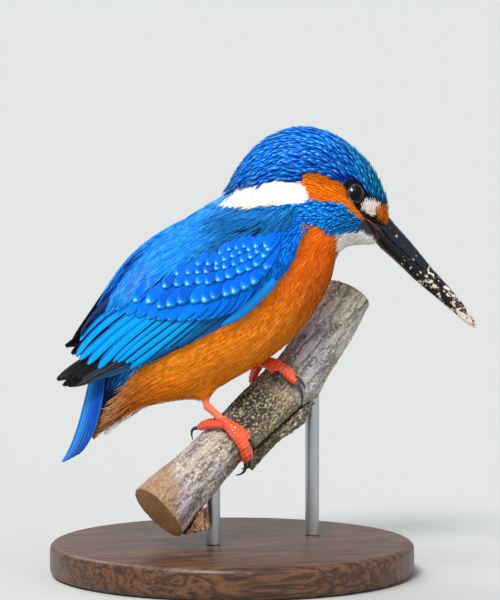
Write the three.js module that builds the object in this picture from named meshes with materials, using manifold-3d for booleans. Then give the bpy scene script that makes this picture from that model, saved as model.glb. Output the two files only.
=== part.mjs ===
import * as THREE from 'three';
import { mergeVertices } from 'three/addons/utils/BufferGeometryUtils.js';
import Module from 'manifold-3d';

// Common kingfisher, life size, gripping a short cut length of branch on a display stand.
// Millimetres, +Z up. The bird faces +X, its right side is -Y and its plane of symmetry is y = 0.
// The origin is the middle of the base's underside.

const wasm = await Module();
wasm.setup();

const gap = 0.3; // between pieces that touch
const tau = Math.PI * 2;
const degrees = THREE.MathUtils.degToRad;
const at = (x, y, z) => new THREE.Vector3(x, y, z);

// ---- sizes: the bird ----------------------------------------------------------------------------

// Cross-sections from the bill's base to the end of the under-tail feathers:
// [back x, back z, belly x, belly z, half width, how much wider the belly side is]
const bodySections = [
  [45.3, 100.9, 43.0, 93.4, 4.3, 0.0],
  [44.6, 106.3, 41.5, 93.0, 6.2, 0.02],
  [41.9, 112.4, 40.1, 93.0, 8.0, 0.05],
  [37.2, 119.2, 38.4, 93.0, 9.7, 0.08],
  [29.8, 124.9, 36.2, 92.9, 11.6, 0.1],
  [20.0, 127.4, 33.4, 92.5, 13.1, 0.1],
  [9.7, 124.0, 31.2, 90.8, 13.6, 0.08],
  [2.4, 116.1, 30.2, 88.2, 13.8, 0.06],
  [-2.2, 108.5, 29.6, 85.0, 14.6, 0.05],
  [-10.5, 103.9, 28.3, 81.4, 16.2, 0.05],
  [-18.8, 97.4, 25.2, 76.0, 17.6, 0.06],
  [-24.8, 91.2, 19.0, 67.6, 18.4, 0.08],
  [-29.2, 85.0, 10.2, 60.8, 18.2, 0.1],
  [-32.7, 78.2, 1.2, 55.9, 16.8, 0.1],
  [-35.4, 71.5, -9.2, 51.2, 14.6, 0.1],
  [-37.2, 65.0, -19.4, 49.4, 11.8, 0.06],
  [-38.6, 58.3, -27.4, 47.9, 9.0, 0.0],
  [-39.8, 51.6, -33.5, 44.4, 6.4, -0.05],
  [-40.9, 44.8, -37.4, 41.0, 4.0, -0.05],
  [-41.2, 40.2, -40.3, 39.0, 1.2, 0.0],
];
const bodyRings = 36;
const bodySides = 22;
const bodySquareness = 2.15; // 2 is an ellipse
// The two thin cuts that part it, each by two points on its middle plane
const napeLine = [at(-2.4, 0, 108.4), at(33.2, 0, 90.0)];
const shoulderLine = [at(-13.5, 0, 101.4), at(28.6, 0, 80.6)];

const eyeRadius = 3.1;
const eyeCentre = at(32.8, -9.3, 108.6); // of the right eye

// The bill from its base to its tip:
// [culmen x, z, cutting edge x, z, lower edge x, z, half width at the cutting edge]
const billSections = [
  [41.4, 105.4, 38.8, 100.5, 36.4, 96.6, 4.6],
  [46.2, 100.2, 44.0, 95.6, 42.0, 92.9, 4.1],
  [53.0, 92.7, 50.0, 90.2, 48.0, 87.8, 3.3],
  [58.4, 86.1, 55.2, 85.6, 53.2, 82.8, 2.7],
  [63.3, 80.8, 60.4, 81.2, 58.2, 78.7, 2.1],
  [67.9, 75.3, 65.6, 76.0, 63.4, 74.4, 1.5],
  [70.0, 72.2, 68.9, 72.4, 68.0, 70.6, 0.9],
  [71.0, 69.9, 70.8, 69.8, 70.6, 69.3, 0.45],
];
const billSteps = 12;
const billRidgeSides = 6;

// Folded right wing from the shoulder to the tips of the flight feathers:
// [upper edge x, y, z, lower edge x, y, z, bulge, thickness]
const wingSections = [
  [16.7, -13.7, 103.4, 18.2, -14.9, 98.4, 0.9, 1.6],
  [8.8, -12.7, 105.2, 16.2, -16.2, 93.5, 2.6, 3.4],
  [0.6, -10.3, 103.5, 12.0, -18.1, 87.5, 4.2, 4.8],
  [-7.2, -7.8, 102.3, 5.7, -19.4, 81.8, 5.9, 6.2],
  [-14.9, -6.2, 100.1, -2.5, -19.9, 75.2, 6.7, 6.8],
  [-22.4, -5.2, 95.7, -12.4, -18.8, 69.8, 6.5, 6.4],
  [-29.2, -4.4, 89.6, -22.4, -15.8, 64.4, 5.4, 5.2],
  [-35.1, -3.7, 81.8, -31.8, -12.2, 60.2, 3.8, 3.6],
  [-40.5, -3.3, 73.1, -38.9, -9.2, 57.1, 2.2, 2.4],
  [-45.5, -3.1, 65.2, -45.0, -7.6, 55.4, 1.0, 1.6],
  [-50.4, -3.4, 57.9, -49.4, -6.0, 54.7, 0.3, 1.0],
];
const wingSteps = 20;
const wingSides = 6;
const wingEdgeLift = 0.9; // how far the wing's edges stand off the line between them
const farTipShift = at(4.2, 0, 8.2); // the far wing is folded a little higher

// Closed tail, roofed along its middle: [upper surface x, z on the middle line, half width]
const tailSections = [
  [-40.4, 60.2, 4.6],
  [-42.0, 54.0, 6.0],
  [-43.4, 47.4, 6.6],
  [-45.0, 41.8, 6.6],
  [-47.2, 37.2, 6.0],
  [-49.4, 33.4, 4.4],
];
const tailSteps = 8;
const tailSides = 8;
const tailThickness = 1.2;
const tailArch = 0.6; // how far the sides drop, as part of the half width
const tailRounding = 3.6; // how much shorter the outer feathers are

// From the knee to the claws
const thighRadii = [6.4, 4.8, 2.3];
const tarsusRadii = [1.3, 1.2, 1.6];
const jointRadius = 1.8;
const toeRadii = [1.65, 1.5, 1.4, 1.15];
const clawRadii = [0.85, 0.62, 0.28];
const clawLift = { root: 0.5, arch: 1.2, tip: 0.1 }; // over the bark

// Each foot: where it stands on the branch, its knee and ankle, and its toes. A toe has the place
// its tip reaches, counted along the branch in parts of the branch from where the foot stands, the
// turn about the bark at which it ends, and the same two for its claw.
const feet = {
  right: {
    place: 0.311,
    turn: degrees(32),
    knee: at(-7.0, -6.6, 62.0),
    ankle: at(-10.8, -7.4, 50.8),
    toes: {
      inner: { shift: 0.013, toeEnd: degrees(-16), clawShift: 0.006, clawEnd: degrees(-46) },
      middle: { shift: -0.008, toeEnd: degrees(-55), clawShift: -0.028, clawEnd: degrees(-92) },
      outer: { shift: -0.022, toeEnd: degrees(-52), clawShift: -0.05, clawEnd: degrees(-90) },
      hind: { shift: -0.033, toeEnd: degrees(86), clawShift: -0.052, clawEnd: degrees(124) },
    },
  },
  left: {
    place: 0.503,
    turn: degrees(88),
    knee: at(-1.0, 6.0, 63.0),
    ankle: at(2.6, 6.8, 57.4),
    toes: {
      inner: { shift: -0.016, toeEnd: degrees(38), clawShift: -0.034, clawEnd: degrees(8) },
      middle: { shift: 0.001, toeEnd: degrees(-5), clawShift: -0.03, clawEnd: degrees(-50) },
      outer: { shift: 0.021, toeEnd: degrees(6), clawShift: 0.016, clawEnd: degrees(-30) },
      hind: { shift: -0.042, toeEnd: degrees(128), clawShift: -0.058, clawEnd: degrees(160) },
    },
  },
};
const thighSteps = 6;
const thighSides = 12;
const tarsusSteps = 4;
const toeSteps = 5;
const clawSteps = 5;
const toeSides = 6;

// ---- sizes: the perch and the stand --------------------------------------------------------------

// Centre line of the branch, cut at both ends, with the radius at each point.
const branchPoints = [
  at(-23.6, -10.3, 19.5),
  at(-13.6, -6.8, 27.8),
  at(0.8, -1.7, 40.1),
  at(15.8, 3.8, 52.7),
  at(21.0, 6.3, 57.5),
  at(30.7, 11.4, 68.8),
  at(37.6, 14.8, 78.2),
];
const branchRadii = [9.4, 8.0, 7.2, 7.4, 7.6, 7.7, 7.5];
const branchSteps = 18;
const branchSides = 15;
const twigPoints = [
  at(22.0, 4.0, 50.0),
  at(18.7, 1.4, 44.2),
  at(13.0, 1.3, 40.2),
  at(8.9, 1.2, 35.5),
  at(4.9, 1.5, 29.8),
];
const twigRadii = [3.6, 3.7, 3.2, 2.6, 2.0];
const twigSteps = 8;
const twigSides = 10;
const stubPoints = [at(-16.0, -8.6, 25.0), at(-13.4, -9.0, 18.6), at(-12.4, -9.4, 13.4)];
const stubRadii = [5.4, 5.0, 4.6];
const stubSteps = 4;
const stubSides = 12;

const baseRadius = 52;
const baseHeight = 9;
const baseEdge = 2; // rounding of the upper edge
const baseChamfer = 0.8; // of the lower edge
const baseSides = 32;
const rodRadius = 2;
const rodSides = 16;
const rodPlaces = { lower: [-6.4, -4.3, 36], upper: [25.4, 8.7, 64] }; // x, y, top before the cut

// ---- materials -------------------------------------------------------------------------------

function finish(color, roughness, metalness = 0) {
  return new THREE.MeshStandardMaterial({ color, roughness, metalness });
}

const blueFeather = finish(0x1763c8, 0.55);
const orangeFeather = finish(0xc9651c, 0.75);
const hornBlack = finish(0x17181c, 0.35);
const coralSkin = finish(0xc93a22, 0.45);
const eyeGloss = finish(0x0d0a09, 0.06);
const bark = finish(0x857a6c, 0.9);
const peeledWood = finish(0x9a6f45, 0.8);
const darkWood = finish(0x4a3426, 0.45);
const steel = finish(0xb5b7ba, 0.3, 0.9);

// ---- geometry helpers ------------------------------------------------------------------------

// A closed surface through rings of equally many points, with a fan over each end ring.
function loft(rings) {
  const sides = rings[0].length;
  const positions = [];
  const index = [];
  const middle = (ring) => ring.reduce((sum, p) => sum.add(p), new THREE.Vector3()).divideScalar(sides);
  for (const point of rings.flat()) positions.push(point.x, point.y, point.z);
  for (let i = 0; i < rings.length - 1; i += 1) {
    for (let j = 0; j < sides; j += 1) {
      const a = i * sides + j;
      const b = i * sides + ((j + 1) % sides);
      index.push(a, b, a + sides, b, b + sides, a + sides);
    }
  }
  const firstMiddle = positions.length / 3;
  const lastRow = (rings.length - 1) * sides;
  for (const end of [rings[0], rings[rings.length - 1]]) positions.push(...middle(end).toArray());
  for (let j = 0; j < sides; j += 1) {
    const next = (j + 1) % sides;
    index.push(firstMiddle, next, j);
    index.push(firstMiddle + 1, lastRow + j, lastRow + next);
  }
  const geometry = new THREE.BufferGeometry();
  geometry.setAttribute('position', new THREE.Float32BufferAttribute(positions, 3));
  geometry.setIndex(index);
  return signedVolume(geometry) < 0 ? turnedOut(geometry) : geometry;
}

function signedVolume(geometry) {
  const { index, attributes: { position } } = geometry;
  const corner = [0, 1, 2].map(() => new THREE.Vector3());
  let volume = 0;
  for (let i = 0; i < index.count; i += 3) {
    corner.forEach((p, k) => p.fromBufferAttribute(position, index.getX(i + k)));
    volume += corner[0].dot(corner[1].cross(corner[2])) / 6;
  }
  return volume;
}

function turnedOut(geometry) {
  geometry.setIndex(Array.from(geometry.index.array).reverse());
  return geometry;
}

function solid(geometry) {
  const bare = geometry.clone();
  bare.deleteAttribute('normal');
  bare.deleteAttribute('uv');
  const merged = mergeVertices(bare, 1e-4);
  const vertProperties = new Float32Array(merged.attributes.position.array);
  const triVerts = new Uint32Array(merged.index.array);
  return new wasm.Manifold(new wasm.Mesh({ numProp: 3, vertProperties, triVerts }));
}

function surface(manifold) {
  const mesh = manifold.getMesh();
  const geometry = new THREE.BufferGeometry();
  geometry.setAttribute('position', new THREE.Float32BufferAttribute(mesh.vertProperties, 3));
  geometry.setIndex(Array.from(mesh.triVerts));
  return geometry;
}

// A round bar along a curve, its radius given from start to end.
function bar(points, radii, steps, sides, grow = 0) {
  const path = new THREE.CatmullRomCurve3(points);
  const radius = new THREE.SplineCurve(radii.map((r, i) => new THREE.Vector2(i, r)));
  const frames = path.computeFrenetFrames(steps, false);
  const rings = [];
  for (let i = 0; i <= steps; i += 1) {
    const centre = path.getPointAt(i / steps);
    const reach = radius.getPoint(i / steps).y + grow;
    const stretch = i === 0 ? -grow : i === steps ? grow : 0;
    centre.addScaledVector(frames.tangents[i], stretch);
    rings.push(Array.from({ length: sides }, (_, j) => {
      const angle = (tau * j) / sides;
      return centre.clone()
        .addScaledVector(frames.normals[i], reach * Math.cos(angle))
        .addScaledVector(frames.binormals[i], reach * Math.sin(angle));
    }));
  }
  return loft(rings);
}

const mirrored = (point) => new THREE.Vector3(point.x, -point.y, point.z);

// ---- head, neck and trunk: one body, parted by two thin cuts ----------------------------------

const backLine = new THREE.CatmullRomCurve3(bodySections.map((s) => at(s[0], 0, s[1])));
const bellyLine = new THREE.CatmullRomCurve3(bodySections.map((s) => at(s[2], 0, s[3])));
const fullness = new THREE.CatmullRomCurve3(bodySections.map((s) => at(s[4], s[5], 0)));

function bodyRing(t, grow) {
  const back = backLine.getPoint(t);
  const belly = bellyLine.getPoint(t);
  const { x: halfWidth, y: lowSlung } = fullness.getPoint(t);
  const centre = back.clone().add(belly).multiplyScalar(0.5);
  const halfHeight = back.clone().sub(belly).multiplyScalar(0.5);
  halfHeight.setLength(halfHeight.length() + grow);
  return Array.from({ length: bodySides }, (_, j) => {
    const angle = (tau * j) / bodySides;
    const power = 2 / bodySquareness;
    const up = Math.sign(Math.cos(angle)) * Math.abs(Math.cos(angle)) ** power;
    const side = Math.sign(Math.sin(angle)) * Math.abs(Math.sin(angle)) ** power;
    const point = centre.clone().addScaledVector(halfHeight, up);
    point.y = side * (halfWidth + grow) * (1 - lowSlung * up);
    return point;
  });
}

function bodyGeometry(grow = 0) {
  const rings = Array.from({ length: bodyRings + 1 }, (_, i) => bodyRing(i / bodyRings, grow));
  const alongBill = at(0.62, 0, -0.78);
  rings[0].forEach((p) => p.addScaledVector(alongBill, grow));
  rings[bodyRings].forEach((p) => p.addScaledVector(at(-0.3, 0, -0.95), grow));
  return loft(rings);
}

// A large block on one side of a plane across the body, which it passes by half the gap. The plane
// holds a line in y = 0 and the direction of the y axis.
function blockBeyond(lineStart, lineEnd, side) {
  const size = 400;
  const along = lineEnd.clone().sub(lineStart).normalize();
  const normal = at(-along.z, 0, along.x).multiplyScalar(side);
  const block = new THREE.BoxGeometry(size, size, size);
  block.rotateY(Math.atan2(-along.z, along.x));
  const middle = lineStart.clone().add(lineEnd).multiplyScalar(0.5);
  block.translate(...middle.addScaledVector(normal, size / 2 - gap / 2).toArray());
  return solid(block);
}

const aboveNape = blockBeyond(napeLine[0], napeLine[1], 1);
const belowNape = blockBeyond(napeLine[0], napeLine[1], -1);
const aboveShoulder = blockBeyond(shoulderLine[0], shoulderLine[1], 1);
const belowShoulder = blockBeyond(shoulderLine[0], shoulderLine[1], -1);

const body = solid(bodyGeometry());
const grownBody = solid(bodyGeometry(gap));

// ---- eyes -------------------------------------------------------------------------------------

function eyeGeometry(centre, grow = 0) {
  const ball = new THREE.SphereGeometry(eyeRadius + grow, 12, 8);
  ball.rotateX(Math.PI / 2);
  ball.translate(centre.x, centre.y, centre.z);
  return ball;
}

// ---- bill ---------------------------------------------------------------------------------------

const culmenLine = new THREE.CatmullRomCurve3(billSections.map((s) => at(s[0], 0, s[1])));
const cuttingLine = new THREE.CatmullRomCurve3(billSections.map((s) => at(s[2], 0, s[3])));
const gonysLine = new THREE.CatmullRomCurve3(billSections.map((s) => at(s[4], 0, s[5])));
const billWidth = new THREE.CatmullRomCurve3(billSections.map((s) => at(s[6], 0, 0)));

// Half of the bill: a half-round section that stands on the cutting edge and ends at the ridge line.
function mandible(ridgeLine) {
  const rings = [];
  for (let i = 0; i <= billSteps; i += 1) {
    const t = i / billSteps;
    const edge = cuttingLine.getPoint(t);
    const rise = ridgeLine.getPoint(t).sub(edge);
    const halfWidth = billWidth.getPoint(t).x;
    edge.addScaledVector(rise, (gap / 2) / rise.length());
    const depth = ridgeLine.getPoint(t).sub(edge);
    rings.push(Array.from({ length: billRidgeSides + 1 }, (_, j) => {
      const angle = (Math.PI * j) / billRidgeSides;
      const point = edge.clone().addScaledVector(depth, Math.sin(angle) ** 1.15);
      point.y = halfWidth * Math.cos(angle);
      return point;
    }));
  }
  return loft(rings);
}

// ---- wings --------------------------------------------------------------------------------------

const wingTop = new THREE.CatmullRomCurve3(wingSections.map((s) => at(s[0], s[1], s[2])));
const wingBottom = new THREE.CatmullRomCurve3(wingSections.map((s) => at(s[3], s[4], s[5])));
const wingForm = new THREE.CatmullRomCurve3(wingSections.map((s) => at(s[6], s[7], 0)));

function wingGeometry(side, grow = 0) {
  const rings = [];
  for (let i = 0; i <= wingSteps; i += 1) {
    const t = i / wingSteps;
    const top = wingTop.getPoint(t);
    const bottom = wingBottom.getPoint(t);
    const { x: bulge, y: thickness } = wingForm.getPoint(t);
    const along = wingTop.getTangent(t).add(wingBottom.getTangent(t)).normalize();
    const across = bottom.clone().sub(top).normalize();
    const outward = across.clone().cross(along).normalize();
    if (outward.y > 0) outward.negate();
    if (side > 0) {
      const lift = THREE.MathUtils.smoothstep(t, 0.45, 1);
      top.addScaledVector(farTipShift, lift);
      bottom.addScaledVector(farTipShift, lift);
    }
    top.addScaledVector(across, -grow);
    bottom.addScaledVector(across, grow);
    const row = (inset) => Array.from({ length: wingSides + 1 }, (_, j) => {
      const v = j / wingSides;
      const arch = 4 * v * (1 - v);
      const depth = wingEdgeLift + bulge * arch ** 0.75 - inset * (0.22 + 0.78 * Math.sqrt(arch));
      return top.clone().lerp(bottom, v).addScaledVector(outward, depth + (inset ? -grow : grow));
    });
    const ring = [...row(0), ...row(thickness).reverse()];
    rings.push(side > 0 ? ring.map(mirrored) : ring);
  }
  return loft(rings);
}

// ---- tail ---------------------------------------------------------------------------------------

const tailLine = new THREE.CatmullRomCurve3(tailSections.map((s) => at(s[0], 0, s[1])));
const tailWidth = new THREE.CatmullRomCurve3(tailSections.map((s) => at(s[2], 0, 0)));

function tailGeometry() {
  const rings = [];
  for (let i = 0; i <= tailSteps; i += 1) {
    const t = i / tailSteps;
    const middle = tailLine.getPoint(t);
    const along = tailLine.getTangent(t);
    const inward = at(-along.z, 0, along.x);
    const halfWidth = tailWidth.getPoint(t).x;
    const row = (inset) => Array.from({ length: tailSides + 1 }, (_, j) => {
      const v = (2 * j) / tailSides - 1;
      const point = middle.clone()
        .addScaledVector(inward, inset + tailArch * halfWidth * v * v)
        .addScaledVector(along, -tailRounding * t * t * v * v);
      point.y = v * halfWidth;
      return point;
    });
    rings.push([...row(0), ...row(tailThickness).reverse()]);
  }
  return loft(rings);
}

// ---- perch --------------------------------------------------------------------------------------

const branchLine = new THREE.CatmullRomCurve3(branchPoints);
const branchRadiusLine = new THREE.CatmullRomCurve3(branchRadii.map((r) => at(r, 0, 0)));
const towardsViewer = at(-0.208, -0.978, 0); // where the bark's turn is measured from

// The bark's radius: slow swellings, and one knot under the twig.
function barkRadius(t, turn) {
  const swelling = 0.28 * Math.sin(3 * turn + 9 * t) + 0.2 * Math.sin(2 * turn - 17 * t);
  const fromKnot = Math.hypot((t - 0.6) * 11, Math.sin((turn + 1.75) / 2) * 3.2);
  return branchRadiusLine.getPoint(t).x + swelling + 2.2 * Math.exp(-fromKnot * fromKnot);
}

// A point over the branch: t along it, a turn about it and a height over the bark.
function overBark(t, turn, height) {
  const along = branchLine.getTangent(t);
  const facing = towardsViewer.clone().addScaledVector(along, -towardsViewer.dot(along)).normalize();
  const upward = facing.clone().cross(along);
  return branchLine.getPoint(t)
    .addScaledVector(facing, Math.cos(turn) * (barkRadius(t, turn) + height))
    .addScaledVector(upward, Math.sin(turn) * (barkRadius(t, turn) + height));
}

function branchGeometry(grow = 0) {
  const rings = [];
  for (let i = 0; i <= branchSteps; i += 1) {
    const t = i / branchSteps;
    rings.push(Array.from({ length: branchSides }, (_, j) => overBark(t, (tau * j) / branchSides, grow)));
  }
  rings[0].forEach((p) => p.addScaledVector(branchLine.getTangent(0), -grow));
  rings[branchSteps].forEach((p) => p.addScaledVector(branchLine.getTangent(1), grow));
  return loft(rings);
}

const grownBranch = solid(branchGeometry(gap));

// ---- legs and feet ------------------------------------------------------------------------------

function jointCentre(foot) {
  return overBark(foot.place, foot.turn, jointRadius + gap);
}

function toePath(foot, toe) {
  return [0, 0.35, 0.7, 1].map((k, i) => {
    const turn = THREE.MathUtils.lerp(foot.turn, toe.toeEnd, k);
    return overBark(foot.place + toe.shift * k, turn, toeRadii[i] + gap);
  });
}

function clawPath(foot, toe) {
  const bend = Math.sign(toe.clawEnd - toe.toeEnd);
  const start = toe.toeEnd + bend * degrees(4);
  return [0, 0.4, 0.75, 1].map((k) => {
    const turn = THREE.MathUtils.lerp(start, toe.clawEnd, k);
    const shift = THREE.MathUtils.lerp(toe.shift, toe.clawShift, k);
    const rise = THREE.MathUtils.lerp(clawLift.root, clawLift.tip, k);
    const lift = rise + clawLift.arch * Math.sin(Math.PI * k);
    return overBark(foot.place + shift, turn, clawRadii[1] + gap + lift);
  });
}

function toeGeometry(foot, toe, grow = 0) {
  return bar(toePath(foot, toe), toeRadii, toeSteps, toeSides, grow);
}

function clawGeometry(foot, toe) {
  return bar(clawPath(foot, toe), clawRadii, clawSteps, toeSides);
}

function jointGeometry(foot, grow = 0) {
  const knob = new THREE.SphereGeometry(jointRadius + grow, 8, 6);
  const centre = jointCentre(foot);
  knob.translate(centre.x, centre.y, centre.z);
  return knob;
}

function toesSolid(foot, grow = 0) {
  return Object.values(foot.toes)
    .reduce((sum, toe) => sum.add(solid(toeGeometry(foot, toe, grow))), solid(jointGeometry(foot, grow)));
}

function tarsusGeometry(foot, grow = 0) {
  const joint = jointCentre(foot);
  const middle = joint.clone().lerp(foot.ankle, 0.5);
  return bar([joint, middle, foot.ankle], tarsusRadii, tarsusSteps, toeSides, grow);
}

function thighGeometry(foot, grow = 0) {
  const middle = foot.knee.clone().lerp(foot.ankle, 0.55);
  return bar([foot.knee, middle, foot.ankle], thighRadii, thighSteps, thighSides, grow);
}

// ---- stand --------------------------------------------------------------------------------------

function baseGeometry() {
  const arcSteps = 3;
  const edge = Array.from({ length: arcSteps + 1 }, (_, i) => {
    const angle = (Math.PI / 2) * (i / arcSteps);
    return new THREE.Vector2(
      baseRadius - baseEdge + baseEdge * Math.cos(angle),
      baseHeight - baseEdge + baseEdge * Math.sin(angle),
    );
  });
  const profile = [
    new THREE.Vector2(0, 0),
    new THREE.Vector2(baseRadius - baseChamfer, 0),
    new THREE.Vector2(baseRadius, baseChamfer),
    ...edge,
    new THREE.Vector2(0, baseHeight),
  ];
  return new THREE.LatheGeometry(profile, baseSides).rotateX(Math.PI / 2);
}

function rodSolid([x, y, top]) {
  const start = baseHeight + gap;
  const rod = new THREE.CylinderGeometry(rodRadius, rodRadius, top - start, rodSides);
  rod.rotateX(Math.PI / 2);
  rod.translate(x, y, (top + start) / 2);
  return solid(rod).subtract(grownBranch);
}

// ---- assembly -----------------------------------------------------------------------------------

const bird = new THREE.Group();
const perch = new THREE.Group();
const stand = new THREE.Group();

function addPiece(group, name, geometry, material) {
  const mesh = new THREE.Mesh(geometry, material);
  mesh.name = name;
  group.add(mesh);
}

const leftEye = mirrored(eyeCentre);
const sockets = solid(eyeGeometry(eyeCentre, gap)).add(solid(eyeGeometry(leftEye, gap)));
const head = body.subtract(belowNape).subtract(sockets);
const neck = body.subtract(aboveNape).subtract(belowShoulder);
let trunk = body.subtract(aboveShoulder);

for (const foot of Object.values(feet)) {
  trunk = trunk.subtract(solid(tarsusGeometry(foot, gap))).subtract(toesSolid(foot, gap));
}

addPiece(bird, 'head', surface(head), blueFeather);
addPiece(bird, 'neck', surface(neck), blueFeather);
addPiece(bird, 'trunk', surface(trunk.subtract(grownBranch)), orangeFeather);
addPiece(bird, 'eye_right', eyeGeometry(eyeCentre), eyeGloss);
addPiece(bird, 'eye_left', eyeGeometry(leftEye), eyeGloss);
addPiece(bird, 'bill_upper', surface(solid(mandible(culmenLine)).subtract(grownBody)), hornBlack);
addPiece(bird, 'bill_lower', surface(solid(mandible(gonysLine)).subtract(grownBody)), hornBlack);

const wings = { right: -1, left: 1 };
const grownWings = solid(wingGeometry(wings.right, gap)).add(solid(wingGeometry(wings.left, gap)));
for (const [sideName, side] of Object.entries(wings)) {
  const wing = solid(wingGeometry(side)).subtract(grownBody);
  addPiece(bird, `wing_${sideName}`, surface(wing), blueFeather);
}
const tail = solid(tailGeometry()).subtract(grownBody).subtract(grownWings);
addPiece(bird, 'tail', surface(tail), blueFeather);

for (const [sideName, foot] of Object.entries(feet)) {
  const thigh = solid(thighGeometry(foot)).subtract(grownBody).subtract(grownBranch);
  const tarsus = solid(tarsusGeometry(foot)).subtract(solid(thighGeometry(foot, gap)));
  const grownToes = toesSolid(foot, gap);
  addPiece(bird, `thigh_${sideName}`, surface(thigh), orangeFeather);
  addPiece(bird, `tarsus_${sideName}`, surface(tarsus.subtract(grownToes)), coralSkin);
  addPiece(bird, `foot_${sideName}`, surface(toesSolid(foot).subtract(grownBranch)), coralSkin);
  for (const [toeName, toe] of Object.entries(foot.toes)) {
    const claw = solid(clawGeometry(foot, toe)).subtract(grownToes).subtract(grownBranch);
    addPiece(bird, `claw_${sideName}_${toeName}`, surface(claw), hornBlack);
  }
}

const twig = solid(bar(twigPoints, twigRadii, twigSteps, twigSides));
const stub = solid(bar(stubPoints, stubRadii, stubSteps, stubSides));
addPiece(perch, 'perch_branch', branchGeometry(), bark);
addPiece(perch, 'perch_twig', surface(twig.subtract(grownBranch)), bark);
addPiece(perch, 'perch_stub', surface(stub.subtract(grownBranch)), peeledWood);

addPiece(stand, 'stand_base', baseGeometry(), darkWood);
for (const [rodName, place] of Object.entries(rodPlaces)) {
  addPiece(stand, `stand_rod_${rodName}`, surface(rodSolid(place)), steel);
}

const group = new THREE.Group();
group.add(bird, perch, stand);

export default group;
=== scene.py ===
import math
import bpy
import numpy as np
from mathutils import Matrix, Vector, noise
from mathutils.bvhtree import BVHTree


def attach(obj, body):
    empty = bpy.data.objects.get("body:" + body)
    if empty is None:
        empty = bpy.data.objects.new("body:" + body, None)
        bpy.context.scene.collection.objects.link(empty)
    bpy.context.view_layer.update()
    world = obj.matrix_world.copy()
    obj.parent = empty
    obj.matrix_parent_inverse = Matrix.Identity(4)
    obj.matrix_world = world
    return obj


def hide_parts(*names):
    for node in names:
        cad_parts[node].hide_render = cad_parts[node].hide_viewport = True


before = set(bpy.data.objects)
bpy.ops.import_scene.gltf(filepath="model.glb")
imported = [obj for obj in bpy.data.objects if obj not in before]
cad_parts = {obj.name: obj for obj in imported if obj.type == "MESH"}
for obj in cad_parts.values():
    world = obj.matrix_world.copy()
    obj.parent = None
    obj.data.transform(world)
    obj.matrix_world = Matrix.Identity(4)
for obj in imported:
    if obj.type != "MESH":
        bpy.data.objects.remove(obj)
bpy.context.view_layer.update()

mm = 0.001
dice = np.random.default_rng(11)


def tint(code):  # a colour as seen, "rrggbb", in linear light
    seen = [int(code[i:i + 2], 16) / 255 for i in (0, 2, 4)]
    return np.array([c / 12.92 if c <= 0.04045 else ((c + 0.055) / 1.055) ** 2.4 for c in seen])


def unit(rows):
    return rows / np.maximum(np.linalg.norm(rows, axis=-1, keepdims=True), 1e-9)


def smoothStep(low, high, x):
    t = np.clip((x - low) / (high - low), 0, 1)
    return t * t * (3 - 2 * t)


def ripple(points, size, seed=0.0):  # slow, smooth, irregular variation, from -1 to 1
    p = points / size + seed
    x, y, z = p[:, 0], p[:, 1], p[:, 2]
    return (np.sin(x * 1.7 + 1.3 * np.sin(y * 1.1 + seed)) + np.sin(y * 2.3 + 1.7 * np.sin(z * 0.9))
            + np.sin(z * 1.9 + 1.1 * np.sin(x * 1.3))) / 3


def mixed(base, other, share):  # share is from 0 to 1 for each row; other may be a colour's code
    other = tint(other) if isinstance(other, str) else other
    return base * (1 - share[:, None]) + other * share[:, None]


# Shader sockets as values that Python's operators work on
class Wire:
    def __init__(self, tree, socket):
        self.tree = tree
        self.socket = socket

    def math(self, operation, *values):
        node = self.tree.nodes.new("ShaderNodeMath")
        node.operation = operation
        for i, value in enumerate(values):
            join(self.tree, node.inputs[i], value)
        return Wire(self.tree, node.outputs[0])

    def __add__(self, other): return self.math("ADD", self, other)
    def __radd__(self, other): return self.math("ADD", other, self)
    def __sub__(self, other): return self.math("SUBTRACT", self, other)
    def __rsub__(self, other): return self.math("SUBTRACT", other, self)
    def __mul__(self, other): return self.math("MULTIPLY", self, other)
    def __rmul__(self, other): return self.math("MULTIPLY", other, self)
    def __truediv__(self, other): return self.math("DIVIDE", self, other)
    def __pow__(self, other): return self.math("POWER", self, other)
    def sine(self): return self.math("SINE", self)
    def size(self): return self.math("ABSOLUTE", self)
    def most(self, other): return self.math("MAXIMUM", self, other)


def join(tree, socket, value):
    if isinstance(value, Wire):
        tree.links.new(value.socket, socket)
    else:
        socket.default_value = value


def asColour(value):
    return value if isinstance(value, Wire) else (*value, 1)


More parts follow.
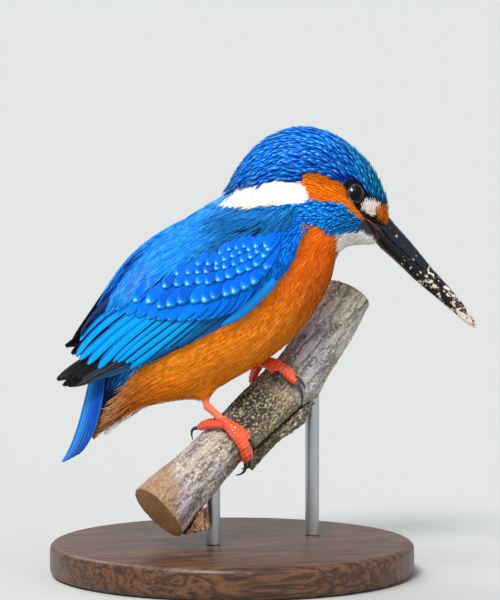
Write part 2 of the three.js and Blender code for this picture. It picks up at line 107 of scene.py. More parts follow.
class Finish:
    def __init__(self, name, roughness=0.5, specular=0.5, metallic=0.0, coat=0.0):
        self.material = bpy.data.materials.new(name)
        self.material.use_nodes = True
        self.tree = self.material.node_tree
        self.shader = self.tree.nodes["Principled BSDF"]
        for socket, value in {"Roughness": roughness, "Specular IOR Level": specular, "Metallic": metallic,
                              "Coat Weight": coat, "Coat Roughness": 0.08}.items():
            self.feed(socket, value)

    def feed(self, socket, value):
        join(self.tree, self.shader.inputs[socket], value)

    def colour(self, value):
        self.feed("Base Color", asColour(value))

    def node(self, kind, settings=None, inputs=None, output=0):
        made = self.tree.nodes.new(kind)
        for key, value in (settings or {}).items():
            setattr(made, key, value)
        for key, value in (inputs or {}).items():
            join(self.tree, made.inputs[key], value)
        return Wire(self.tree, made.outputs[output])

    def parts(self, vector):  # its x, y and z
        first = self.node("ShaderNodeSeparateXYZ", None, {0: vector})
        return [Wire(self.tree, socket) for socket in first.socket.node.outputs]

    def place(self):
        return self.node("ShaderNodeTexCoord", output="Object")

    def vane(self):  # across and along a feather, both from 0 to 1
        return self.parts(self.node("ShaderNodeUVMap", {"uv_map": "vane"}))[:2]

    def attribute(self, name):
        return self.node("ShaderNodeAttribute", {"attribute_name": name}, output="Color")

    def noise(self, where, scale, detail=3.0, rough=0.55, stretch=None):
        if stretch:
            where = self.node("ShaderNodeMapping", None, {"Vector": where, "Scale": stretch})
        return self.node("ShaderNodeTexNoise", None,
                         {"Vector": where, "Scale": scale, "Detail": detail, "Roughness": rough}, "Fac")

    def blend(self, share, first, second, kind="MIX"):
        return self.node("ShaderNodeMix", {"data_type": "RGBA", "blend_type": kind, "clamp_result": True},
                         {0: share, 6: asColour(first), 7: asColour(second)}, 2)

    def ramp(self, value, low, high):
        return self.node("ShaderNodeMapRange", {"interpolation_type": "SMOOTHSTEP"},
                         {"Value": value, "From Min": low, "From Max": high})

    def bump(self, height, depth, strength):
        self.feed("Normal", self.node("ShaderNodeBump", None,
                                      {"Height": height, "Distance": depth, "Strength": strength}))


def pick(piece):
    bpy.ops.object.select_all(action="DESELECT")
    piece.select_set(True)
    bpy.context.view_layer.objects.active = piece


def shapeWith(piece, kind, **settings):
    pick(piece)
    step = piece.modifiers.new(kind.lower(), kind)
    for key, value in settings.items():
        setattr(step, key, value)
    bpy.ops.object.modifier_apply(modifier=step.name)


def smoothOut(piece, rounds):
    shapeWith(piece, "SMOOTH", factor=0.5, iterations=rounds)


def remade(piece, voxel, rounds):  # one closed surface of even facets, then smoothed
    shapeWith(piece, "REMESH", mode="VOXEL", voxel_size=voxel)
    smoothOut(piece, rounds)


def editAll(piece, operator, **settings):  # an edit-mode operator on the whole of a piece
    pick(piece)
    bpy.ops.object.mode_set(mode="EDIT")
    bpy.ops.mesh.select_all(action="SELECT")
    operator(**settings)
    bpy.ops.object.mode_set(mode="OBJECT")


def added(title, primitive, **settings):  # a primitive with its place in its mesh
    bpy.ops.object.select_all(action="DESELECT")
    primitive(**settings)
    piece = bpy.context.active_object
    piece.name = piece.data.name = title
    bpy.ops.object.transform_apply(location=True, rotation=True, scale=True)
    return piece


def joined(title, pieces):
    pick(pieces[0])
    for piece in pieces:
        piece.select_set(True)
    if len(pieces) > 1:
        bpy.ops.object.join()
    pieces[0].name = pieces[0].data.name = title
    return pieces[0]


def copyOf(title, *names):  # one new mesh from CAD nodes, its doubles merged
    parts = []
    for name in names:
        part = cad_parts[name].copy()
        part.data = part.data.copy()
        part.parent = None
        for key in list(part.keys()):
            del part[key]
        part.data.materials.clear()
        bpy.context.scene.collection.objects.link(part)
        parts.append(part)
    piece = joined(title, parts)
    editAll(piece, bpy.ops.mesh.remove_doubles, threshold=0.002 * mm)
    return piece


def perVertex(piece, value):
    flat = np.empty(len(piece.data.vertices) * 3)
    piece.data.vertices.foreach_get(value, flat)
    return flat.reshape(-1, 3)


def coordinates(piece):
    return perVertex(piece, "co")


def normalsOf(piece):
    return perVertex(piece, "normal")


def moveTo(piece, points):
    piece.data.vertices.foreach_set("co", points.ravel())
    piece.data.update()


def paint(mesh, name, colours):  # one colour for each vertex
    layer = mesh.color_attributes.new(name, "FLOAT_COLOR", "POINT")
    layer.data.foreach_set("color", np.concatenate([colours, np.ones((len(colours), 1))], 1).ravel())


def smoothShade(piece):
    piece.data.polygons.foreach_set("use_smooth", [True] * len(piece.data.polygons))


def settle(piece, finish, replaced=()):  # the last lines of every piece
    piece.data.materials.clear()
    piece.data.materials.append(finish.material)
    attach(piece, "root")
    if replaced:
        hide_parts(*replaced)


# A surface that feathers can be laid on: it finds its nearest point and that point's smooth normal
class Form:
    def __init__(self, piece, mirrored=False):
        self.points = coordinates(piece)
        self.normals = normalsOf(piece)
        if mirrored:
            self.points = self.points * (1, -1, 1)
            self.normals = self.normals * (1, -1, 1)
        self.faces = [tuple(p.vertices) for p in piece.data.polygons]
        self.tree = BVHTree.FromPolygons([Vector(p) for p in self.points], self.faces)
        self.faceNormals = unit(np.array([self.normals[list(f)].mean(0) for f in self.faces]))

    def nearest(self, points):
        found = np.empty_like(points)
        ups = np.empty_like(points)
        for i, point in enumerate(points):
            place, _, face, _ = self.tree.find_nearest(Vector(point))
            found[i] = place
            ups[i] = self.faceNormals[face]
        return found, ups

    def distance(self, points):
        return np.array([self.tree.find_nearest(Vector(p))[3] for p in points])

    def fromSide(self, points):  # where rays from the right meet the form, or else the depth near there
        found = points.copy()
        ups = np.empty_like(points)
        self.met = np.zeros(len(points), bool)
        depth = 0.0
        for i, (x, _, z) in enumerate(points):
            place, _, face, _ = self.tree.ray_cast(Vector((x, -60 * mm, z)), Vector((0, 1, 0)))
            self.met[i] = place is not None
            if not self.met[i]:
                place, _, face, _ = self.tree.find_nearest(Vector((x, depth, z)))
            depth = found[i, 1] = place[1]
            ups[i] = self.faceNormals[face]
        return found, ups


# The skin: the flesh solids made one surface, set in by the depth of the coat
skinSizes = {
    "flesh": ["head", "neck", "trunk", "thigh_right", "thigh_left"],
    "voxel": 0.8 * mm,
    "wingVoxel": 0.7 * mm,
    "headDepth": 0.15 * mm,
    "hornDepth": 1.1 * mm,
    "bodyDepth": 0.8 * mm,
    "shankDepth": 0.3 * mm,
    "wingDepth": 1.0 * mm,
    "wingCut": (-35 * mm, 0, 70 * mm),
    "wingWay": (-0.836, 0, -0.549),
    "ankles": {"right": np.array((-10.8, -7.4, 50.8)) * mm, "left": np.array((2.6, 6.8, 57.4)) * mm},
}


def wingPart(side):  # a wing without its tip
    piece = copyOf("wing root " + side, "wing_" + side)
    editAll(piece, bpy.ops.mesh.bisect, plane_co=skinSizes["wingCut"], plane_no=skinSizes["wingWay"],
            use_fill=True, clear_outer=True)
    return piece


def billSide(points):  # 1 where the face is bare and the horn of the bill takes over from the feathers
    x, z = points[:, 0] / mm, points[:, 2] / mm
    behind = smoothStep(34.9, 35.7, x - 0.1 * (z - 99))
    under = smoothStep(0.4, -0.4, z - (101.4 - 0.42 * (x - 36.8)))
    over = smoothStep(-0.4, 0.4, z - np.minimum(97.8 - 0.4 * (x - 35.7), 96.1 - 0.9 * (x - 39.4)))
    return behind * under * over


def guideForm(names, voxel=0.0, rounds=0, mirrored=False):  # a surface over CAD nodes to lay feathers on
    piece = copyOf("guide", *names)
    if voxel:
        remade(piece, voxel, rounds)
    form = Form(piece, mirrored)
    bpy.data.objects.remove(piece)
    return form


def wingGap(points):  # how far each point is from the nearer wing
    return np.minimum(wingForms["right"].distance(points), wingForms["left"].distance(points * (1, -1, 1)))


print("guides")
wingForms = {"right": guideForm(["wing_right"], skinSizes["wingVoxel"], 14),
             "left": guideForm(["wing_left"], skinSizes["wingVoxel"], 14, True)}
billForm = guideForm(["bill_upper", "bill_lower"])
hullForm = guideForm([*skinSizes["flesh"], "wing_right", "wing_left"], skinSizes["voxel"], 12)

print("skin")
fleshPiece = copyOf("flesh", *skinSizes["flesh"], "eye_right", "eye_left")
skin = joined("skin", [fleshPiece, wingPart("right"), wingPart("left")])
remade(skin, skinSizes["voxel"], 10)
outer = coordinates(skin)
onHead = smoothStep(0, 14 * mm, (outer[:, 2] - 98 * mm) + 0.4 * (outer[:, 0] - 10 * mm))
onWing = 1 - smoothStep(0.3 * mm, 2.5 * mm, wingGap(outer))
toAnkle = np.minimum(*[np.linalg.norm(outer - ankle, axis=1) for ankle in skinSizes["ankles"].values()])
depth = skinSizes["bodyDepth"]
for part, share in (("headDepth", onHead), ("wingDepth", onWing),
                    ("shankDepth", 1 - smoothStep(2 * mm, 6 * mm, toAnkle)), ("hornDepth", billSide(outer))):
    depth = depth + (skinSizes[part] - depth) * share
moveTo(skin, outer - normalsOf(skin) * depth[:, None])
smoothOut(skin, 4)
skinForm = Form(skin)

# Markings: outlines in the side plane, x and z in mm, the same on both sides
outlines = {
    "loreWhite": [(35.0, 104.7), (36.8, 106.5), (39.2, 106.5), (41.9, 105.1), (40.3, 103.9),
                  (39.5, 102.0), (37.4, 103.0)],
    "loreRufous": [(39.8, 103.5), (41.5, 104.9), (44.0, 104.2), (47.0, 103.0), (47.0, 99.6), (45.3, 98.9),
                   (43.1, 99.8), (40.7, 101.3)],
    "loreBlack": [(29.4, 111.6), (31.2, 113.0), (34.0, 113.0), (36.4, 110.5), (38.2, 108.1),
                  (40.6, 106.6), (43.0, 105.0), (45.0, 104.2), (47.5, 103.5), (47.5, 97.2), (43.4, 98.7),
                  (39.2, 100.4), (36.8, 101.3), (34.9, 103.3), (33.1, 105.1), (31.7, 106.9), (31.0, 109.2)],
    "bare": [(35.3, 101.2), (36.8, 101.5), (39.2, 100.6), (43.4, 98.9), (47.5, 97.4), (47.5, 88.7),
             (43.0, 92.8), (39.4, 96.1), (35.7, 97.8), (35.0, 98.4)],
    "ear": [(17.8, 114.5), (20.4, 115.2), (23.1, 115.0), (26.4, 113.6), (29.3, 111.5), (31.0, 109.3),
            (31.7, 106.9), (33.1, 105.1), (34.9, 103.3), (37.0, 101.5), (35.8, 100.9), (33.9, 102.3),
            (31.8, 104.0), (29.9, 105.5), (28.0, 106.7), (25.7, 106.6), (22.8, 106.7), (20.6, 107.1),
            (19.6, 107.9), (18.9, 109.7), (17.6, 111.9)],
    "white": [(-6.0, 106.4), (-4.0, 108.0), (-1.3, 109.0), (0.7, 110.4), (3.7, 111.4), (7.3, 112.2),
              (11.3, 112.5), (14.3, 112.0), (17.6, 112.0), (18.9, 109.7), (19.6, 107.9), (18.5, 106.7),
              (15.6, 106.3), (13.3, 106.0), (8.9, 105.3), (3.4, 104.8), (2.5, 105.4), (-0.5, 105.6),
              (-3.5, 105.8)],
    "malar": [(12.6, 105.2), (16.8, 106.6), (19.6, 107.9), (20.6, 107.1), (25.7, 106.6), (28.0, 106.7),
              (29.9, 105.5), (31.8, 104.0), (33.9, 102.3), (35.8, 100.9), (35.3, 99.7), (34.9, 98.1),
              (31.9, 98.2), (28.9, 98.2), (25.7, 98.8), (24.3, 99.6), (23.2, 100.5), (20.7, 101.1),
              (18.4, 102.0), (17.7, 103.4), (14.5, 104.3)],
    "throat": [(29.6, 98.3), (34.9, 98.2), (35.7, 97.8), (39.4, 96.1), (43.0, 92.8), (47.0, 88.7),
               (40.0, 86.5), (31.5, 90.5), (29.9, 94.2)],
    "crown": [(-2.2, 108.2), (3.7, 111.2), (10.4, 112.3), (17.6, 112.0), (17.8, 114.6), (23.1, 114.8),
              (26.4, 113.4), (29.3, 111.3), (31.2, 112.8), (34.0, 112.9), (36.4, 110.4), (38.2, 108.0),
              (40.6, 106.5), (42.9, 105.0), (47.5, 98.0), (60.0, 110.0), (40.0, 140.0), (0.0, 140.0),
              (-12.0, 110.5)],
    "back": [(-2.2, 108.4), (-3.5, 105.8), (-0.5, 105.6), (2.5, 105.4), (3.4, 104.8), (8.9, 105.3),
             (12.6, 105.2), (14.5, 104.3), (17.7, 103.4), (18.4, 102.0), (18.2, 100.0), (12.0, 95.0),
             (0.0, 85.0), (-15.0, 75.0), (-30.0, 60.0), (-37.0, 49.0), (-44.0, 38.0), (-64.0, 60.0),
             (-44.0, 100.0), (-12.0, 112.0)],
}
zones = list(outlines) + ["under", "shoulder", "covered"]


def inside(outline, x, z):  # whether each place is within a closed outline
    ins = np.zeros(len(x), bool)
    for (ax, az), (bx, bz) in zip(outline, outline[1:] + outline[:1]):
        crosses = (az > z) != (bz > z)
        with np.errstate(divide="ignore", invalid="ignore"):
            ins ^= crosses & (x < (bx - ax) * (z - az) / (bz - az) + ax)
    return ins


def zoneOf(points, ragged=0.0):  # the number of each point's zone, its edges made ragged by so many mm
    ragged = ragged * (1 - 0.6 * smoothStep(8, 14, points[:, 0] / mm + 0.5 * (points[:, 2] / mm - 104)))
    x = points[:, 0] / mm + ragged * dice.normal(size=len(points))
    z = points[:, 2] / mm + ragged * dice.normal(size=len(points))
    zone = np.where((x > 27) & (z > 101), zones.index("loreBlack"), zones.index("under"))
    byBill = np.abs(points[:, 1]) / mm > 2.3
    for number, name in reversed(list(enumerate(outlines))):
        found = inside(outlines[name], x, z)
        if name.startswith("lore"):
            found &= byBill
        zone[found] = number
    zone[(zone == zones.index("under")) & (x < 19.6) & (x > 8) & (z > 99.6)] = zones.index("malar")
    wing = (wingGap(points) < 1.55 * mm) & (z < 105.5) & ~(x > 18.8)
    rear = x < -2
    zone[wing & ~rear] = zones.index("shoulder")
    zone[wing & rear] = zones.index("covered")
    return zone


# What grows in each zone: lengths and widths in mm, colours as seen
coat = {
    "crown": {"long": 4.0, "wide": 0.84, "apart": 0.82, "lift": 0.6,
              "colours": ["0072ee", "0088fc", "0050c8"], "spot": "78d4ff", "spotApart": 1.3},
    "malar": {"long": 2.5, "wide": 0.68, "apart": 0.64, "lift": 0.36,
              "colours": ["0086f4", "0098ff", "0068d4"], "spot": "6cd4ff", "spotApart": 0.9},
    "ear": {"long": 3.2, "wide": 0.36, "apart": 0.46, "lift": 0.34,
            "colours": ["f8790a", "ff8a16", "e86604"]},
    "white": {"long": 3.6, "wide": 1.2, "apart": 0.5, "lift": 0.1, "arch": 0.03, "columns": 7,
              "colours": ["fffffd", "ffffff", "fffdf8"]},
    "loreBlack": {"long": 1.2, "wide": 0.28, "apart": 0.38, "lift": 0.15,
                  "colours": ["120e10", "1c1618", "0c0a0c"]},
    "loreWhite": {"long": 1.8, "wide": 0.3, "apart": 0.36, "lift": 0.5,
                  "colours": ["fff4f2", "fffaf8", "f4dcd8"]},
    "loreRufous": {"long": 2.1, "wide": 0.34, "apart": 0.4, "lift": 0.85,
                   "colours": ["d8740a", "e88818", "a04c04"]},
    "throat": {"long": 3.2, "wide": 0.5, "apart": 0.5, "lift": 0.3,
               "colours": ["fffdf8", "ffffff", "fdf8ee"]},
    "under": {"long": 6.2, "wide": 0.36, "apart": 0.53, "lift": 0.22,
              "colours": ["fa8c1a", "fe9626", "f48414"]},
    "back": {"long": 4.8, "wide": 0.5, "apart": 0.66, "lift": 0.4,
             "colours": ["14a0f4", "30b4ff", "0c8cee"]},
    "shoulder": {"long": 3.2, "wide": 1.0, "apart": 0.8, "lift": 0.5,
                 "colours": ["007cf0", "008cfc", "0064d4"]},
    "scapular": {"long": 8.0, "wide": 0.38, "apart": 0.56, "lift": 0.22, "sink": 0.3,
                 "colours": ["1e94fa", "30a6ff", "0c82f2"]},
}

# How the coat lies, in the side plane: x, z in mm, then the way it points
lie = np.array([
    (45, 103, -0.55, 0.83), (41, 112, -0.6, 0.8), (37, 119, -0.72, 0.69), (30, 124.5, -0.9, 0.42),
    (20, 127, -1.0, 0.0), (10, 123.5, -0.82, -0.57), (3, 115, -0.6, -0.8), (-2, 107.5, -0.78, -0.62),
    (31, 116, -0.86, 0.5), (20, 118, -0.98, 0.18), (11, 116, -0.9, -0.42), (24, 111, -0.94, 0.34),
    (14, 109, -0.99, 0.03), (8, 108.5, -0.98, -0.2), (3, 107, -0.88, -0.47), (36, 105, -0.5, 0.86),
    (43, 102, -0.55, 0.83), (33, 101, -0.93, 0.36), (24, 103, -0.98, 0.15), (16, 104.5, -0.98, -0.1),
    (40, 95, -0.97, -0.2), (32, 96, -0.85, -0.5), (27, 96, -0.6, -0.8), (29, 91, -0.42, -0.9),
    (30, 85, -0.3, -0.95), (27, 79, -0.45, -0.89), (21, 71, -0.62, -0.78), (12, 63, -0.74, -0.67),
    (2, 56.5, -0.82, -0.57), (-9, 52, -0.86, -0.5), (-19, 50, -0.86, -0.5), (-29, 47, -0.78, -0.62),
    (-37, 41, -0.62, -0.78), (22, 95, -0.6, -0.8), (20, 85, -0.52, -0.85), (12, 76, -0.66, -0.75),
    (0, 68, -0.74, -0.67), (-12, 60, -0.8, -0.6), (-25, 56, -0.8, -0.6), (-8, 57, -0.45, -0.89),
    (-10, 102, -0.88, -0.47), (-20, 96, -0.74, -0.67), (-29, 86, -0.52, -0.85), (-35, 72, -0.34, -0.94),
    (-39, 58, -0.24, -0.97), (0, 101, -0.9, -0.43), (14, 99, -0.75, -0.66), (8, 92, -0.62, -0.78),
])
wingLie = np.array([
    (16, 100, -0.55, -0.83), (12, 94, -0.42, -0.9), (8, 90, -0.42, -0.9), (4, 86, -0.48, -0.88),
    (0, 83, -0.5, -0.87), (-8, 82, -0.62, -0.78), (-16, 82, -0.7, -0.71), (-26, 80, -0.74, -0.67),
    (-34, 78, -0.6, -0.8), (6, 99, -0.85, -0.52), (0, 101, -0.88, -0.47), (-10, 99, -0.84, -0.54),
    (-20, 94, -0.78, -0.63), (-30, 86, -0.66, -0.75), (-4, 93, -0.76, -0.65), (-12, 91, -0.77, -0.64),
    (-22, 87, -0.76, -0.65), (2, 92, -0.62, -0.78),
])


def headingAt(points, ups, guides):  # the nearest guides' ways, laid flat on the surface
    gap = points[:, None, [0, 2]] / mm - guides[None, :, :2]
    weight = 1 / (np.sum(gap ** 2, axis=2) + 4) ** 1.6
    flat = unit(np.einsum("ij,jk->ik", weight, guides[:, 2:]))
    way = np.stack([flat[:, 0], np.zeros(len(points)), flat[:, 1]], 1)
    way -= ups * np.sum(way * ups, axis=1, keepdims=True)
    return unit(way)


def candidates(form, count):  # random places all over a surface, evenly by area
    corners = np.array([[f[0], f[i], f[i + 1]] for f in form.faces for i in range(1, len(f) - 1)])
    owner = np.array([k for k, f in enumerate(form.faces) for _ in range(1, len(f) - 1)])
    a, b, c = (form.points[corners[:, i]] for i in range(3))
    area = np.linalg.norm(np.cross(b - a, c - a), axis=1)
    chosen = dice.choice(len(corners), count, p=area / area.sum())
    u, v = dice.random((2, count, 1))
    fold = (u + v) > 1
    u, v = np.where(fold, 1 - u, u), np.where(fold, 1 - v, v)
    return a[chosen] + u * (b - a)[chosen] + v * (c - a)[chosen], form.faceNormals[owner[chosen]]


def spread(points, apart):  # keeps points that are so far from each other
    cells = {}
    kept = []
    keys = np.floor(points / apart).astype(int)
    near = [(i, j, k) for i in (-1, 0, 1) for j in (-1, 0, 1) for k in (-1, 0, 1)]
    limit = apart * apart
    for n, (key, point) in enumerate(zip(map(tuple, keys), points.tolist())):
        x, y, z = point
        free = True
        for i, j, k in near:
            for ox, oy, oz in cells.get((key[0] + i, key[1] + j, key[2] + k), ()):
                if (ox - x) ** 2 + (oy - y) ** 2 + (oz - z) ** 2 < limit:
                    free = False
                    break
            if not free:
                break
        if free:
            cells.setdefault(key, []).append((x, y, z))
            kept.append(n)
    return np.array(kept, int)


# Vanes: closed, thin, roofed blades along a spine, all in one mesh
outlineOf = {
    4: [0.5, 1.0, 0.85, 0.14],
    7: [0.5, 0.8, 0.95, 1.0, 0.97, 0.78, 0.3],
    12: [0.75, 0.86, 0.93, 0.97, 1.0, 1.0, 1.0, 0.98, 0.93, 0.84, 0.64, 0.24],
    13: [0.75, 0.86, 0.93, 0.97, 1.0, 1.0, 1.0, 1.0, 1.0, 0.98, 0.93, 0.78, 0.4],
}


def gridOf(spine, up, side, half, across, arch, thick, shape, ridge):  # top and underside, row by row
    width = half[:, None] * np.array(shape)[None, :]
    roof = 1 - across ** 2
    height = arch * width[:, :, None] * roof + ridge * np.linspace(1, 0.3, len(shape))[None, :, None]
    top = (spine[:, :, None, :] + side[:, :, None, :] * (width[:, :, None] * across)[..., None]
           + up[:, :, None, :] * height[..., None])
    inner = top[:, :, 1:-1, :] - up[:, :, None, :] * (thick * (0.35 + 0.65 * roof[1:-1]))[None, None, :, None]
    return np.concatenate([top, inner], axis=2)


def vaneFaces(rows, edges):  # the faces of one vane, closed at both ends
    top = np.arange(edges)
    bottom = np.concatenate([[0], edges + np.arange(edges - 2), [edges - 1]])
    per = 2 * edges - 2
    quads = []
    for r in range(rows - 1):
        for c in range(edges - 1):
            for first, second in ((top[c], top[c + 1]), (bottom[c + 1], bottom[c])):
                here, there = r * per, (r + 1) * per
                quads.append([here + first, here + second, there + second, there + first])
    tris = []
    for base, turned in ((0, False), ((rows - 1) * per, True)):
        loop = [base + k for k in top] + [base + k for k in bottom[-2:0:-1]]
        loop = loop if turned else loop[::-1]
        if edges == 3:
            quads.append(loop)
        else:
            tris += [[loop[0], loop[k], loop[k + 1]] for k in range(1, len(loop) - 1)]
    return np.array(quads), np.array(tris, int).reshape(-1, 3)


def vaneMesh(title, batches):
    points, hues, spots, vanes, bakes, faces4, faces3, start = [], [], [], [], [], [], [], 0
    for b in batches:
        across = b["across"]
        grid = gridOf(b["spine"], b["up"], b["side"], b["half"], across, b["arch"], b["thick"], b["shape"],
                      b.get("ridge", 0 * across))
        count, rows, per, _ = grid.shape
        along = np.broadcast_to(np.linspace(0, 1, rows)[None, :, None], (count, rows, per))
        wide = np.broadcast_to(np.concatenate([across, across[1:-1]])[None, None, :], (count, rows, per))
        quads, tris = vaneFaces(rows, len(across))
        offset = (start + np.arange(count) * rows * per)[:, None, None]
        faces4.append((quads[None] + offset).reshape(-1, 4))
        faces3.append((tris[None] + offset).reshape(-1, 3))
        points.append(grid.reshape(-1, 3))
        for colours, kept in ((b["hue"], hues), (b["spot"], spots)):
            kept.append(np.broadcast_to(colours[:, None, None, :], (count, rows, per, 3)).reshape(-1, 3))
        vanes.append(np.stack([(wide + 1) / 2, along], -1).reshape(-1, 2))
        patch = b["patch"][:, None, None, :] + np.stack([wide, along * 2 - 1], -1) * np.array(b["patchHalf"])
        bakes.append(patch.reshape(-1, 2))
        start += count * rows * per
    points, hues, spots, vanes, bakes, faces4, faces3 = map(
        np.concatenate, (points, hues, spots, vanes, bakes, faces4, faces3))
    if batches[0].get("mirrored"):
        points = points * (1, -1, 1)
        faces4, faces3 = faces4[:, ::-1], faces3[:, ::-1]
    return rawMesh(title, points, faces4, faces3, {"hue": hues, "spot": spots},
                   {"vane": vanes, "OFBake": bakes})


def rawMesh(title, points, quads, tris, colours, maps):
    mesh = bpy.data.meshes.new(title)
    loops = np.concatenate([quads.ravel(), tris.ravel()]).astype(np.int32)
    totals = np.concatenate([np.full(len(quads), 4), np.full(len(tris), 3)]).astype(np.int32)
    mesh.vertices.add(len(points))
    mesh.vertices.foreach_set("co", points.ravel())
    mesh.loops.add(len(loops))
    mesh.loops.foreach_set("vertex_index", loops)
    mesh.polygons.add(len(totals))
    mesh.polygons.foreach_set("loop_start", np.concatenate([[0], np.cumsum(totals)[:-1]]).astype(np.int32))
    mesh.polygons.foreach_set("loop_total", totals)
    mesh.polygons.foreach_set("use_smooth", np.ones(len(totals), bool))
    mesh.update(calc_edges=True)
    for name, values in colours.items():
        paint(mesh, name, values)
    for name, values in maps.items():
        layer = mesh.uv_layers.new(name=name)
        layer.data.foreach_set("uv", values[loops].ravel())
    mesh.validate()
    piece = bpy.data.objects.new(title, mesh)
    bpy.context.scene.collection.objects.link(piece)
    return piece


bodyAxis = np.array([(46, 96), (20, 108), (4, 100), (-6, 80), (-22, 64), (-36, 50), (-44, 34)]) * mm


def unwrapped(points):  # along the body and round it, each from 0 to 1
    flat = points[:, [0, 2]]
    best = np.full(len(points), np.inf)
    along = np.zeros(len(points))
    turn = np.zeros(len(points))
    lengths = np.linalg.norm(np.diff(bodyAxis, axis=0), axis=1)
    for k in range(len(bodyAxis) - 1):
        way = (bodyAxis[k + 1] - bodyAxis[k]) / lengths[k]
        t = np.clip((flat - bodyAxis[k]) @ way, 0, lengths[k])
        gap = flat - bodyAxis[k] - t[:, None] * way
        closer = np.sum(gap ** 2, axis=1) < best
        best = np.where(closer, np.sum(gap ** 2, axis=1), best)
        along = np.where(closer, (lengths[:k].sum() + t) / lengths.sum(), along)
        turn = np.where(closer, np.arctan2(points[:, 1], gap @ np.array([way[1], -way[0]])), turn)
    return np.stack([turn / (2 * np.pi) + 0.5, along], 1)


def fitted(flat):  # fills the square, less a small margin
    low, high = flat.min(0), flat.max(0)
    return 0.01 + 0.98 * (flat - low) / np.maximum(high - low, 1e-9)


def lieAlong(form, roots, ups, ways, lengths, rows, lift):  # spines that follow a surface and rise from it
    spine, up = [roots], [ups]
    point, way = roots, ways
    for _ in range(rows - 1):
        point, here = form.nearest(point + way * (lengths / (rows - 1))[:, None])
        way = unit(way - here * np.sum(way * here, axis=1, keepdims=True))
        spine.append(point)
        up.append(here)
    spine, up = np.stack(spine, 1), np.stack(up, 1)
    heading = unit(np.gradient(spine, axis=1))
    side = unit(np.cross(up, heading))
    rise = np.linspace(0, 1, rows)[None, :] ** 1.2 * lift[:, None]
    return spine + up * rise[..., None], up, side


def uneven(colour, count, least, more):  # a colour that is darker on some feathers than on others
    return tint(colour) * (least + more * dice.random((count, 1)))


